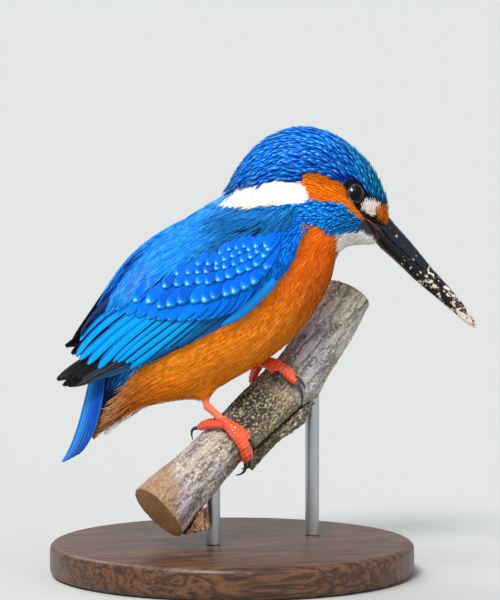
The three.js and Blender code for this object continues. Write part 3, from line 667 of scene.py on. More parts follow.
def shadesOf(points, zone):  # the colour at each place; x, y and z are in mm
    count = len(points)
    common, second, third = map(tint, coat[zone]["colours"])
    draw = dice.random((count, 1))
    shade = np.where(draw < 0.45, common, np.where(draw < 0.75, second, third))
    x, y, z = (points / mm).T
    slow = ripple(points, 9 * mm)[:, None]
    if zone == "under":
        slant = x * 0.6 + z * 0.75  # locks of barbs run down and back
        lock = np.sin(1.9 * (x * 0.75 - z * 0.6 + 0.8 * np.abs(y)) + 2.2 * np.sin(0.28 * slant) + 0.5 * x)
        shade = shade * (1.04 + 0.1 * lock[:, None] * np.array([0.6, 1.3, 1.5]))
        shade = mixed(shade, "ffbe6a", 0.4 * (dice.random(count) < 0.02 + 0.06 * smoothStep(0.4, 0.9, lock)))
        breast = smoothStep(0.25, 0.9, (z - 62) / 34)
        shade = mixed(shade, shade * (0.86, 0.55, 0.45), breast)  # redder
        # the rear darker and browner, partly painted shade towards the tail
        shade = mixed(shade, shade * (0.5, 0.52, 0.9), smoothStep(-14, -32, x))  # browner behind
        shade = mixed(shade, "d8a274", 0.75 * smoothStep(-26, -35, x))  # and pale at the vent
        front = smoothStep(0.0, 1.0, (x - 16 + (88 - z) * 0.5) / 12) * smoothStep(98, 84, z)
        streak = 0.5 + 0.5 * np.sin(x * 3.1 + 2 * np.sin(z * 1.3))
        shade = mixed(shade, "000000", 0.55 * front * streak)
        # painted shade on the belly's underside, along the middle and low down
        shade = mixed(shade, "000000", 0.25 * smoothStep(6.0, 1.0, np.abs(y)) * smoothStep(70, 56, z))
        shade = shade * (1 + 0.1 * slow)
    if zone == "back":
        neck = smoothStep(98, 106, z) * smoothStep(3, 10, np.abs(y))
        shade = mixed(shade, uneven("0e6cc0", count, 0.85, 0.3), neck)
        # the rump's side under the wing tip: a deeper blue, partly its own and partly painted shade, with a
        # painted shadow of the wing darkest just below it
        rump = smoothStep(-24, -31, x) * smoothStep(64, 57, z)
        wingShadow = (1 - 0.7 * smoothStep(47, 53, z))[:, None]
        shade = mixed(shade, uneven("043c8c", count, 0.6, 0.5) * wingShadow, rump)
        shade = mixed(shade, "8cd6ff", 0.6 * (dice.random(count) < 0.16 * (1 - rump)))
    if zone == "crown":
        fore = smoothStep(31, 41, x + 0.15 * (z - 110))
        shade = mixed(shade, uneven("067c9c", count, 0.5, 0.7), fore)
        shade = mixed(shade, "0040b0", 0.85 * smoothStep(119, 113, z - 0.15 * x) * (1 - fore))
        violet = smoothStep(0.1, 0.7, ripple(points, 6 * mm, 5.0)) * smoothStep(114, 120, z)
        shade = mixed(shade, "3a70ea", 0.3 * violet) * (1 + 0.15 * slow)
    if zone == "malar":
        front = 0.7 * smoothStep(25, 33, x + 0.5 * (102 - z))
        shade = mixed(shade, uneven("0678a8", count, 0.7, 0.5), front)
    if zone == "ear":
        shade = mixed(shade, "000000", 0.4 * smoothStep(111.5, 114.5, z + 0.35 * (x - 20)))
        shade = mixed(shade, "e8742a", smoothStep(32, 36, x))
    if zone == "white":  # tipped with orange along its lower edge
        edge = smoothStep(107.0, 105.8, z - 0.06 * x + 0.35 * dice.normal(size=count))
        shade = mixed(shade, "f6a444", 0.85 * edge * smoothStep(-3, 3, x) * smoothStep(16, 12, x))
    if zone == "throat":
        # painted shade: the white throat greyer olive towards its lower edge, its underside
        shade = mixed(shade, "a48c58", 0.6 * smoothStep(94.5, 91.0, z))
    if zone == "shoulder":
        shade = mixed(shade, "1668a8", 0.5 * smoothStep(97, 101, z) * smoothStep(14, 6, x))
    if zone == "scapular":
        shade = mixed(shade, "6ad0ff", 0.55 * (dice.random(count) < 0.12))
        shade = shade * (1 + 0.14 * ripple(points, 4 * mm, 2.0)[:, None])
        shade = mixed(shade, "5a92f0", 0.35 * smoothStep(0.1, 0.8, ripple(points, 7 * mm, 8.0)))
        # the front scapulars darker teal, partly their own colour and partly painted shade
        front = 0.85 * smoothStep(-12, -2, x + 0.3 * (99 - z)) * smoothStep(107.5, 104, z)
        shade = mixed(shade, uneven("085c9c", count, 0.6, 0.7), front)
        # a parting in the feathers painted near black, as painted shadow in the gap
        shadowedParting = np.hypot((x - 5.5) / 3.4, (z - 101.6) / 0.8) < 1
        shade = mixed(shade, "051626", 1.0 * shadowedParting)
    return np.clip(shade, 0, 1)


def spotsOf(points, zone, hue):  # some feathers end in a bright spot, others in their own colour
    spec = coat[zone]
    if "spot" not in spec:
        return np.zeros((len(points), 3)), np.zeros(len(points))
    spot = np.repeat(tint(spec["spot"])[None], len(points), 0)
    x, y, z = (points / mm).T
    if zone == "crown":
        fore = smoothStep(31, 41, x)
        spot = mixed(spot, "70ecf8", fore)
        spot = mixed(spot, "0a84f0", 0.6 * smoothStep(8, 0, x) * smoothStep(121, 112, z))
        spot = mixed(spot, "000000", 0.45 * smoothStep(118, 112, z) * (1 - fore))
    if zone == "malar":
        spot = mixed(spot, "4cd4ee", smoothStep(27, 34, x))
    order = dice.permutation(len(points))
    bright = np.zeros((len(points), 1), bool)
    bright[order[spread(points[order], spec["spotApart"] * mm)]] = True
    shown = np.where(bright, spot * (0.5 + 0.5 * dice.random((len(points), 1))), hue * 1.2).clip(0, 1)
    return shown, bright[:, 0].astype(float)


def sizeShare(roots):  # feathers get smaller towards the bill
    return 0.62 + 0.38 * smoothStep(4, 26, np.hypot(roots[:, 0] / mm - 46, roots[:, 2] / mm - 98))


def coatBatch(form, roots, ups, zone):
    spec = coat[zone]
    count = len(roots)
    rows, edges = 4, spec.get("columns", 3)
    ways = headingAt(roots, ups, wingLie if zone == "scapular" else lie)
    turn = dice.normal(scale=0.13, size=(count, 1))
    ways = unit(ways + np.cross(ups, ways) * turn)
    x, y, z = (roots / mm).T
    small = sizeShare(roots)
    if zone == "crown":
        small = small * (1 + 0.45 * smoothStep(12, 0, x))
    if zone in ("under", "back"):
        small = small * (1 - 0.35 * smoothStep(52, 47, z) * smoothStep(-16, 0, x))
    lengths = spec["long"] * mm * small * dice.uniform(0.85, 1.15, count)
    hue = shadesOf(roots, zone)
    spot, bright = spotsOf(roots, zone, hue)
    half = 0.5 * spec["wide"] * mm * small ** 0.6 * dice.uniform(0.85, 1.15, count) * (1 + 0.7 * bright)
    lift = spec["lift"] * mm * small * dice.uniform(0.7, 1.3, count) * (1 + 0.3 * bright)
    if zone == "crown":
        lift = lift * (1 + 1.2 * smoothStep(36, 43, x))
    if zone == "under":  # wisps stand out below the vent and, fewer, along the belly
        loose = smoothStep(0.55, 0.9, np.sin(x * 91.7 + z * 57.3 + y * 33.1))
        vent = smoothStep(-19, -24, x) * smoothStep(-35, -30, x) * smoothStep(56, 50, z)
        lift = lift + mm * (1.3 * vent * (0.3 + 0.7 * loose) + 0.6 * loose * smoothStep(62, 54, z))
        lengths = lengths * (1 + 0.25 * vent * loose)
    spine, up, side = lieAlong(form, roots, ups, ways, lengths, rows, lift)
    spine = spine - up * (spec.get("sink", 0) * mm)
    return {"spine": spine, "up": up, "side": side, "half": half, "across": np.linspace(-1, 1, edges),
            "arch": spec.get("arch", 0.2), "thick": 0.06 * mm, "shape": outlineOf[rows],
            "hue": hue, "spot": spot, "patch": fitted(unwrapped(roots)), "patchHalf": 0.0015}


print("coat")
barbSlant = 26.0
scaleLooks = {  # a bright spot near the tip, a paler rim, and how dark the rest gets and where
    "scale feather": {"spotAt": 0.87, "spotWide": 0.36, "spotLong": 0.19, "bend": 0.0, "taper": 0.7,
                      "crisp": 0.35, "rim": 0.04, "darkFrom": 0.8, "darkTo": 0.5, "deep": (0.22, 0.52, 0.7)},
    "greater covert": {"spotAt": 0.98, "spotWide": 0.1, "spotLong": 0.035, "bend": 0.0, "taper": 1.0,
                       "crisp": 0.35, "rim": 0.2, "darkFrom": 0.95, "darkTo": 0.7, "deep": (0.1, 0.7, 0.86)},
    "spotted covert": {"spotAt": 0.96, "spotWide": 0.24, "spotLong": 0.06, "bend": 0.25, "taper": 2.0,
                       "crisp": 0.6, "rim": 0.7, "darkFrom": 0.95, "darkTo": 0.74, "deep": (0.05, 0.5, 0.78)},
}


def softFinish(name, shaded=(0.92, 0.87, 0.84)):  # loose barbs, shaded towards their roots
    finish = Finish(name, roughness=0.65, specular=0.08)
    across, along = finish.vane()
    hue = finish.attribute("hue")
    dark = finish.blend(1.0, hue, shaded, "MULTIPLY")
    pale = finish.blend(0.3, hue, hue, "ADD")
    hair = (across * barbSlant + along * 7).sine() * 0.5 + 0.5
    shade = finish.blend(finish.ramp(along, 0.7, 0.1), hue, dark)
    finish.colour(finish.blend(finish.ramp(along, 0.55, 1.0) * hair * 0.8, shade, pale))
    return finish


def scaleFinish(name):  # close barbs that slant from the middle, with a bright spot near the tip
    look = scaleLooks[name]
    finish = Finish(name, roughness=0.55, specular=0.06)
    across, along = finish.vane()
    hue, spot = finish.attribute("hue"), finish.attribute("spot")
    middle = (across - 0.5).size()
    dark = finish.blend(1.0, hue, look["deep"], "MULTIPLY")
    pale = finish.blend(0.5, hue, tint("5cc0ff"))
    hair = (middle * barbSlant - along * 30).sine() * 0.5 + 0.5
    # darker towards the root, where the row above lies over it: partly the feather's own darker base and
    # partly painted shade
    shade = finish.blend(finish.ramp(along, look["darkFrom"], look["darkTo"]), hue, dark)
    shade = finish.blend(hair * 0.34, shade, dark)
    edge = finish.ramp((middle * 2) ** 2 + finish.ramp(along, 0.72, 1.0) * 0.75, 0.85, 1.15)
    shade = finish.blend(edge * look["rim"], shade, pale)
    wide = ((across - 0.5) / look["spotWide"]) * ((1 - along) * look["taper"] + 0.9)
    long = (along + middle * look["bend"] - look["spotAt"]) / look["spotLong"]
    uneasy = finish.noise(finish.place(), 300, 2) * 1.7 + 0.15  # every spot has its own size
    off = (wide ** 2 + long ** 2) ** 0.5 * uneasy
    shade = finish.blend(finish.ramp(off, 2.4, 0.6) * 0.3, shade, tint("28b4ff"))
    barb = (middle * barbSlant * 1.6 - along * 50).sine() * 0.5 + 0.5
    finish.colour(finish.blend(finish.ramp(off, 1.05, look["crisp"]) * (barb * 0.4 + 0.6), shade, spot))
    finish.bump(hair, 0.05 * mm, 0.5)
    return finish


keepsOff = {  # the zones that a zone's feathers don't hang into
    "crown": ("ear", "white", "loreWhite", "loreBlack", "loreRufous"), "malar": ("ear", "white", "bare"),
    "ear": ("loreBlack", "bare", "white", "crown"), "back": ("white", "under"), "throat": ("bare",),
    "loreBlack": ("ear", "crown"), "under": ("malar", "throat", "white", "back", "bare", "loreBlack"),
}
softFeather = softFinish("loose feather")
paleFeather = softFinish("pale feather", (0.93, 0.91, 0.88))
scaleFeather = scaleFinish("scale feather")
finishOf = {"white": paleFeather, "throat": paleFeather, "loreWhite": paleFeather}
eyeSizes = {"radius": 3.08 * mm, "lid": 2.6 * mm, "lidOut": 1.72 * mm, "lidThick": 0.2 * mm,
            "bulge": 0.16 * mm, "clear": 3.45 * mm, "darkRing": 3.9 * mm, "paleRing": 3.7 * mm,
            "corneaWide": 46, "pupilWide": 27, "irisWide": 54, "glint": (38, 16), "place": (32.8, 9.3, 108.6),
            "axis": (0.27, 0.95, 0.14)}
eyeSpots = [np.array(eyeSizes["place"]) * (1, sign, 1) * mm for sign in (-1, 1)]
eyeAxes = [unit(np.array(eyeSizes["axis"]) * (1, sign, 1)) for sign in (-1, 1)]
laying = {"places": 150000, "hullPlaces": 90000, "ragged": 0.3, "closer": 0.8, "wingNear": 14 * mm,
          "wingOver": 2.2 * mm, "offBill": 0.8 * mm, "mostTriangles": 170000}

places, placeUps = candidates(skinForm, laying["places"])
placeZones = zoneOf(places, laying["ragged"])
covered = np.zeros(len(places), bool)
byWing = np.where((placeZones == zones.index("under")) | (placeZones == zones.index("back")))[0]
for form, sign in ((wingForms["right"], 1), (wingForms["left"], -1)):
    for n in byWing:
        point = places[n] * (1, sign, 1)
        if point[1] <= 0:
            hit = form.tree.ray_cast(Vector(point), Vector((0, -1, 0)), laying["wingNear"])
            covered[n] |= hit[0] is not None and hit[3] > laying["wingOver"]
nearEye = np.minimum(*[np.linalg.norm(places - spot, axis=1) for spot in eyeSpots]) < eyeSizes["clear"]
inBill = (places[:, 0] > 34 * mm) & (places[:, 2] < 108 * mm)
inBill[inBill] = billForm.distance(places[inBill]) < laying["offBill"]
inBill |= billSide(places) > 0.5
usable = ~covered & ~nearEye & ~inBill
for zone in (name for name in coat if name != "scapular"):
    spec = coat[zone]
    mine = np.where((placeZones == zones.index(zone)) & usable)[0]
    order = mine[spread(places[mine], spec["apart"] * laying["closer"] * mm)]
    roots, ups = places[order], placeUps[order]
    if zone in keepsOff:
        ends = roots + headingAt(roots, ups, lie) * spec["long"] * mm * sizeShare(roots)[:, None] * 0.8
        wrong = np.isin(zoneOf(ends), [zones.index(name) for name in keepsOff[zone]])
        roots, ups = roots[~wrong], ups[~wrong]
    columns, rows = spec.get("columns", 3), 4
    perVane = 4 * (columns - 1) * (rows - 1) + 4 * (columns - 2)
    shares = math.ceil(len(roots) * perVane / laying["mostTriangles"])
    fromBehind = np.argsort(roots[:, 0])
    for share in range(shares):
        chosen = fromBehind[share * len(roots) // shares:(share + 1) * len(roots) // shares]
        ending = "_%d" % (share + 1) if shares > 1 else ""
        piece = vaneMesh("coat_" + zone + ending, [coatBatch(skinForm, roots[chosen], ups[chosen], zone)])
        settle(piece, finishOf.get(zone, scaleFeather if "spot" in spec else softFeather))
        print(" ", piece.name, len(chosen), "feathers")

# Scapulars: long soft feathers from the back over the wing's upper part
farTipShift = np.array((4.2, 8.2))
scapularPatch = [(15, 101.5), (9, 98.6), (2, 95.8), (-7, 93.8), (-11.6, 91.8), (-18, 88.8), (-24, 85.2),
                 (-30, 80.8), (-36, 75.8), (-46, 74.0), (-46, 90), (-34, 102), (-22, 108), (-10, 111.0),
                 (0, 110.0), (8, 107.5), (15, 105)]
seats, seatUps = candidates(hullForm, laying["hullPlaces"])
flat = seats[:, [0, 2]] / mm
flat = flat - (seats[:, 1:2] > 0) * smoothStep(-12, -50, flat[:, :1]) * farTipShift
ends = flat + headingAt(seats, seatUps, wingLie)[:, [0, 2]] * coat["scapular"]["long"]
outwards = seatUps[:, 1] * np.sign(seats[:, 1]) > np.where(seats[:, 0] < -14 * mm, -0.9, -0.2)
hidden = zoneOf(seats) == zones.index("white")
onBack = (flat[:, 0] < 17) & (flat[:, 1] < 110)
chosen = np.where(inside(scapularPatch, *ends.T) & outwards & ~hidden & onBack)[0]
chosen = chosen[spread(seats[chosen], coat["scapular"]["apart"] * laying["closer"] * mm)]
print("  scapulars", len(chosen))
for ending, sided in (("right", chosen[seats[chosen, 1] < 0]), ("left", chosen[seats[chosen, 1] >= 0])):
    batch = coatBatch(hullForm, seats[sided], seatUps[sided], "scapular")
    settle(vaneMesh("coat_scapular_" + ending, [batch]), softFeather)

# Lids: a thin bare ring round each eye, part of the skin
rings = []
for spot, axis in zip(eyeSpots, eyeAxes):
    rings.append(added("lid", bpy.ops.mesh.primitive_torus_add, major_radius=eyeSizes["lid"],
                       minor_radius=eyeSizes["lidThick"], major_segments=64, minor_segments=12,
                       rotation=Vector(axis).to_track_quat("Z", "Y").to_euler(),
                       location=spot + axis * eyeSizes["lidOut"]))
skin = joined("skin", [skin, *rings])

# The skin's colours: those of its zones, a little darker, as painted shade where it shows between the
# feathers
skinPoints = coordinates(skin)
skinZones = zoneOf(skinPoints)
skinHue = np.zeros((len(skinZones), 3))
plain = {"covered": "1070c8", "bare": "4a444a"}
for number, zone in enumerate(zones):
    mine = skinZones == number
    if mine.any():
        shade = shadesOf(skinPoints[mine], zone) if zone in coat else tint(plain[zone])
        skinHue[mine] = shade * (0.45 if "spot" in coat.get(zone, ()) else 1.0 if zone == "white" else 0.8)
for spot, axis in zip(eyeSpots, eyeAxes):
    gap = skinPoints - spot
    aside = np.linalg.norm(gap - (gap @ axis)[:, None] * axis, axis=1)
    away = np.linalg.norm(gap, axis=1)
    skinHue[away < eyeSizes["darkRing"]] = tint("0e0c0e")
    skinHue[(away < eyeSizes["paleRing"]) & (aside < eyeSizes["lid"])] = tint("66626c")
paint(skin.data, "hue", skinHue)
smoothShade(skin)
skinFinish = Finish("down", roughness=0.8, specular=0.2)
skinFinish.colour(skinFinish.attribute("hue"))
settle(skin, skinFinish, [*skinSizes["flesh"], "wing_right", "wing_left", "tail"])

# Wings: vanes laid out in the side plane of the right wing, x and z in mm
def wingHeading(flat):
    gap = flat[:, None, :] - wingLie[None, :, :2]
    weight = 1 / (np.sum(gap ** 2, axis=2) + 3) ** 1.6
    return unit(np.einsum("ij,jk->ik", weight, wingLie[:, 2:]))


def curveThrough(start, middle, end, rows):  # one curve for each feather
    t = np.linspace(0, 1, rows)[None, :, None]
    pull = 2 * middle - (start + end) / 2
    return (1 - t) ** 2 * start[:, None] + 2 * t * (1 - t) * pull[:, None] + t ** 2 * end[:, None]


def linesOf(table, rows):
    return curveThrough(*(np.array(table[key], float) for key in ("roots", "middles", "tips")), rows)


def spacedAlong(line, spacing, start=0.0):
    line = np.array(line, float)
    reach = np.concatenate([[0], np.cumsum(np.linalg.norm(np.diff(line, axis=0), axis=1))])
    places = np.arange(start, reach[-1], spacing)
    return np.stack([np.interp(places, reach, line[:, k]) for k in (0, 1)], 1)


bladeAcross = np.array([-1, -0.55, 0.06, 0.14, 0.22, 0.62, 1])  # its shaft stands up at 0.14
bladeRidge = np.array([0, 0, 0.25, 1, 0.25, 0, 0])
scaleAcross = np.linspace(-1, 1, 7)


def bladesOn(form, lines, look, hue, inner, across=bladeAcross):  # the heights are those of root and tip
    count, rows, _ = lines.shape
    isBlade = across is bladeAcross
    flat = np.stack([lines[..., 0], np.zeros((count, rows)), lines[..., 1]], -1).reshape(-1, 3) * mm
    spine, up = form.fromSide(flat)
    spine, up = spine.reshape(count, rows, 3), up.reshape(count, rows, 3)
    if not isBlade:  # small coverts that would hang past the wing's edge are left out
        held = form.met.reshape(count, rows)[:, 2:].all(axis=1)
        spine, up, hue, inner, count = spine[held], up[held], hue[held], inner[held], int(held.sum())
    for _ in range(3):
        spine[:, 1:-1, 1] = (spine[:, :-2, 1] + 2 * spine[:, 1:-1, 1] + spine[:, 2:, 1]) / 4
        up[:, 1:-1] = (up[:, :-2] + 2 * up[:, 1:-1] + up[:, 2:]) / 4
    up = unit(up + (0, -0.6, 0))
    side = unit(np.cross(up, unit(np.gradient(spine, axis=1))))
    height = np.linspace(*look["heights"], rows) * mm + dice.normal(scale=0.04, size=(count, 1)) * mm
    return {"spine": spine + up * height[..., None], "up": up, "side": unit(side + up * look["lean"]),
            "half": np.asarray(look["half"]) * mm * np.ones(count), "across": across, "thick": 0.16 * mm,
            "arch": 0.12 if isBlade else 0.06, "ridge": 0.1 * mm * bladeRidge if isBlade else 0 * across,
            "shape": outlineOf[rows], "hue": hue, "spot": inner, "mirrored": form is wingForms["left"]}


def varied(colour, count, byShare=0.1):
    return np.clip(tint(colour)[None] * (1 + dice.normal(scale=byShare, size=(count, 1))), 0, 1)


def atlased(batches):  # gives every blade its own patch of the bake, in rows
    total = sum(len(b["spine"]) for b in batches)
    across = math.ceil(math.sqrt(total * 4))
    down = math.ceil(total / across)
    n = 0
    for b in batches:
        index = n + np.arange(len(b["spine"]))
        b["patch"] = np.stack([(index % across + 0.5) / across, (index // across + 0.5) / down], 1)
        b["patchHalf"] = (0.46 / across, 0.46 / down)
        n += len(index)
    return batches


secondaryLines = {  # the lower edge of each, then its tip; "bare" is how much of it shows
    "roots": [(-37.5, 77.1), (-35.0, 76.7), (-32.7, 76.0), (-30.7, 75.3), (-27.6, 74.7), (-24.3, 74.6),
              (-21.9, 74.9), (-20.1, 74.1), (-16.7, 74.4), (-12.9, 75.5), (-12.1, 74.3), (-12.1, 72.4),
              (-9.1, 74.7), (-6.2, 75.4)],
    "middles": [(-41.2, 73.4), (-40.1, 72.3), (-38.9, 70.8), (-37.2, 69.1), (-34.7, 68.9), (-31.8, 68.3),
                (-29.4, 68.7), (-28.0, 67.8), (-25.1, 67.4), (-22.3, 67.3), (-20.2, 67.4), (-18.2, 66.9),
                (-15.4, 68.8), (-12.2, 70.6)],
    "tips": [(-44.3, 69.6), (-44.6, 68.0), (-45.9, 63.7), (-45.1, 62.9), (-43.1, 61.7), (-40.3, 60.6),
             (-36.5, 62.5), (-35.2, 62.4), (-33.1, 62.2), (-31.6, 60.4), (-29.5, 60.7), (-26.3, 63.0),
             (-22.4, 64.6), (-18.6, 66.8)],
    "bare": [1.6, 1.3, 1.6, 1.7, 2.0, 2.2, 1.1, 1.3, 1.7, 2.0, 1.2, 1.2, 1.3, 1.3],
    "overlap": 0.42, "heights": (-1.15, -0.45), "stack": (0.35, -0.2), "lean": 0.16, "outer": "0098e4",
    "inner": "0a74c8",
}
primaryLines = {
    "roots": [(-29, 71), (-27, 69.5), (-25, 68), (-20, 68.5), (-14, 71), (-8, 74), (-3, 77.2), (1, 80.4)],
    "middles": [(-40.6, 64.0), (-39.6, 61.8), (-38.2, 60.6), (-33.0, 62.0), (-28.5, 62.6), (-24.0, 64.2),
                (-18.5, 67.0), (-13.5, 70.2)],
    "tips": [(-52.0, 56.9), (-49.9, 54.9), (-48.3, 54.6), (-45.6, 56.2), (-43.0, 57.6), (-39.5, 58.9),
             (-35.0, 60.0), (-29.0, 62.2)],
    "half": [2.1, 2.0, 1.9, 1.7, 1.6, 1.5, 1.4, 1.3], "heights": (-1.5, -1.0), "stack": (0.15, -0.35),
    "lean": 0.12, "outer": [("1a1b1f", 1), ("3c3740", 2), ("14507c", 1), ("1370a8", 4)], "inner": "141214",
}
farEdgeLines = {"roots": [(-34.8, 81.8), (-33.6, 81.6)], "middles": [(-40.4, 74.7), (-39.4, 74.0)],
                "tips": [(-45.6, 66.6), (-44.0, 66.7)], "half": [1.3, 1.2], "heights": (-0.6, -0.2),
                "lean": 0.1, "outer": "16161c", "inner": "2a262c"}
alulaLines = {"roots": [(8.2, 85.6), (5.4, 82.9)], "middles": [(1.6, 78.9), (-0.4, 77.4)],
              "tips": [(-5.9, 73.4), (-7.4, 73.2)], "half": [1.7, 1.3], "heights": (-0.3, 0.25),
              "lean": 0.1, "outer": "0890ec", "inner": "086cc0"}
coverts = {"tips": [(-37.6, 78.6), (-34.4, 76.6), (-31.6, 75.5), (-27.8, 75.1), (-24.6, 74.7), (-20.9, 74.6),
                    (-17.1, 74.7), (-13.7, 74.7), (-10.5, 75.0), (-7.4, 75.8), (-4.6, 76.9), (-2.0, 78.2)],
           "spacing": 2.7, "long": 9.0, "half": 2.0, "heights": (-0.95, -0.35), "lean": 0.14,
           "outer": "0480ea", "inner": "88dcff"}
spotRow = [(-31.0, 79.8), (-25.6, 78.3), (-20.3, 79.1), (-12.8, 79.8), (-6.8, 81.3), (0.4, 83.8), (3.6, 86.4),
           (6.0, 89.6)]
spotRows = {"rise": [0.0, 5.2, 8.1, 10.4, 12.4, 14.2], "spacing": [3.0, 2.9, 2.6, 2.4, 2.2, 2.0],
            "half": [2.0, 1.75, 1.5, 1.3, 1.15, 1.0], "long": [9.0, 7.0, 6.0, 5.4, 5.0, 4.6],
            "lean": 0.06, "outer": "0686f0", "inner": "b0f0ff"}


def wingBlades(sideName):
    form = wingForms[sideName]
    far = sideName == "left"
    groups = {}

    def lowered(lines):  # the tip of the far wing hangs elsewhere
        return lines + smoothStep(-12, -50, lines[..., :1]) * farTipShift if far else lines

    def endingAt(tips, long, sag):  # short curves along the wing's grain
        roots = tips - wingHeading(tips) * long
        return lowered(curveThrough(roots, (roots + tips) / 2 + sag, tips, 7))

    def stacked(batch, heights):  # each a little over or under the next
        batch["spine"] += batch["up"] * (heights * mm)[:, None, None]
        return batch

    look = secondaryLines
    count = len(look["tips"])
    roots, middles, tips = (np.array(look[key]) for key in ("roots", "middles", "tips"))
    half = np.array(look["bare"]) / 2 + look["overlap"]
    way = unit(middles - roots)
    upEdge = way[:, ::-1] * (1, -1) * half[:, None]
    lines = curveThrough(roots + upEdge - way * 4, middles + upEdge, tips, 13)
    outer = varied(look["outer"], count, 0.08)
    outer[-3:] = tint("0a5c90")
    outer[:2] = tint("042456"), tint("0a90ea")
    inner = varied(look["inner"], count)
    inner[:2] = tint("0c0e18")
    kept = slice(2 if far else 0, None)
    batch = bladesOn(form, lowered(lines[kept]), dict(look, half=half[kept]), outer[kept], inner[kept])
    groups["secondaries"] = [stacked(batch, np.linspace(*look["stack"], count)[kept])]

    if far:  # the edge of the far wing, seen over the back
        outer, inner = varied(farEdgeLines["outer"], 2), varied(farEdgeLines["inner"], 2)
        groups["secondaries"].append(bladesOn(form, linesOf(farEdgeLines, 12), farEdgeLines, outer, inner))

    look = primaryLines
    outer = np.concatenate([varied(shade, number) for shade, number in look["outer"]])
    count = len(outer)
    batch = bladesOn(form, lowered(linesOf(look, 12)), look, outer, varied(look["inner"], count))
    groups["primaries"] = [stacked(batch, np.linspace(*look["stack"], count))]

    tips = spacedAlong(coverts["tips"], coverts["spacing"])
    outer, inner = varied(coverts["outer"], len(tips), 0.14), varied(coverts["inner"], len(tips))
    lines = endingAt(tips, coverts["long"], 0.3)
    groups["greater_coverts"] = [bladesOn(form, lines, coverts, outer, inner, scaleAcross)]

    groups["median_coverts"] = []
    for row, rise in enumerate(spotRows["rise"]):
        spacing, half, long = (spotRows[key][row] for key in ("spacing", "half", "long"))
        line = np.array(spotRow) + np.array((0.12 * rise, rise))
        tips = spacedAlong(line, spacing, (row % 2) * 1.5 + 0.2)
        tips = tips + dice.normal(scale=0.2, size=tips.shape)
        keep = ~inside(scapularPatch, *(tips - wingHeading(tips) * 0.6).T) & (tips[:, 0] < 8.0 - 0.5 * row)
        tips = tips[keep & (tips[:, 1] < 95.5)]
        outer, inner = varied(spotRows["outer"], len(tips), 0.14), varied(spotRows["inner"], len(tips))
        look = dict(spotRows, half=half, heights=(-0.75 + 0.12 * row, 0.1 * row))
        lines = endingAt(tips, long, 0.2)
        groups["median_coverts"].append(bladesOn(form, lines, look, outer, inner, scaleAcross))

    outer, inner = varied(alulaLines["outer"], 2, 0.05), varied(alulaLines["inner"], 2)
    groups["alula"] = [bladesOn(form, lowered(linesOf(alulaLines, 12)), alulaLines, outer, inner)]
    return groups


def bladeFinish(name, split, innerShare=1.0, lined=0.0):  # split is the shaft's place across the vane
    finish = Finish(name, roughness=0.4, specular=0.1)
    across, along = finish.vane()
    hue, inner = finish.attribute("hue"), finish.attribute("spot")
    barb = ((across - split).size() * 60 - along * 150).sine() * 0.5 + 0.5
    dark = finish.blend(1.0, hue, (0.55, 0.6, 0.7), "MULTIPLY")
    web = finish.blend(barb * 0.3, hue, dark)
    pale = finish.blend(0.35, hue, (0.75, 0.95, 1))
    web = finish.blend(finish.ramp((across - 0.95).size(), 0.06, 0.02) * (0.5 - 0.5 * lined), web, pale)
    web = finish.blend(finish.ramp(across, split + 0.03, split - 0.03) * innerShare, web, inner)
    shaft = finish.ramp((across - split).size(), 0.03, 0.012)
    # the dark line at the outer edge stands for the next blade's dark inner web and a painted shadow between
    # the blades
    shaft = shaft.most(finish.ramp(across, 0.84, 0.88) * lined)  # and a dark line at the outer edge
    finish.colour(finish.blend(shaft * 0.85, web, (0.004, 0.008, 0.02)))
    finish.bump(barb, 0.04 * mm, 0.4)
    return finish


print("wings")
bladeFinishes = {
    "secondaries": bladeFinish("secondary vane", 0.2, lined=1.0),
    "primaries": bladeFinish("primary vane", 0.6),
    "alula": bladeFinish("alula vane", 0.14),
    "greater_coverts": scaleFinish("greater covert"),
    "median_coverts": scaleFinish("spotted covert"),
}
for sideName in ("right", "left"):
    for group, batches in wingBlades(sideName).items():
        piece = vaneMesh(group + "_" + sideName, atlased(batches))
        settle(piece, bladeFinishes[group])

# Tail: twelve feathers, roofed, the middle pair on top
tailSizes = {  # places along its middle, x and z, with half its width there
    "line": [(-40.4, 60.2, 4.6), (-42.0, 54.0, 6.0), (-43.4, 47.4, 6.6), (-45.0, 41.8, 6.2),
             (-47.2, 37.2, 4.4), (-49.4, 33.4, 2.4)],
    "feathers": 12, "rows": 12, "half": 1.35, "arch": 0.6, "rounding": 5.0, "reach": 0.86, "near": "034fb4",
    "far": "22acff", "inner": "07306c",
}


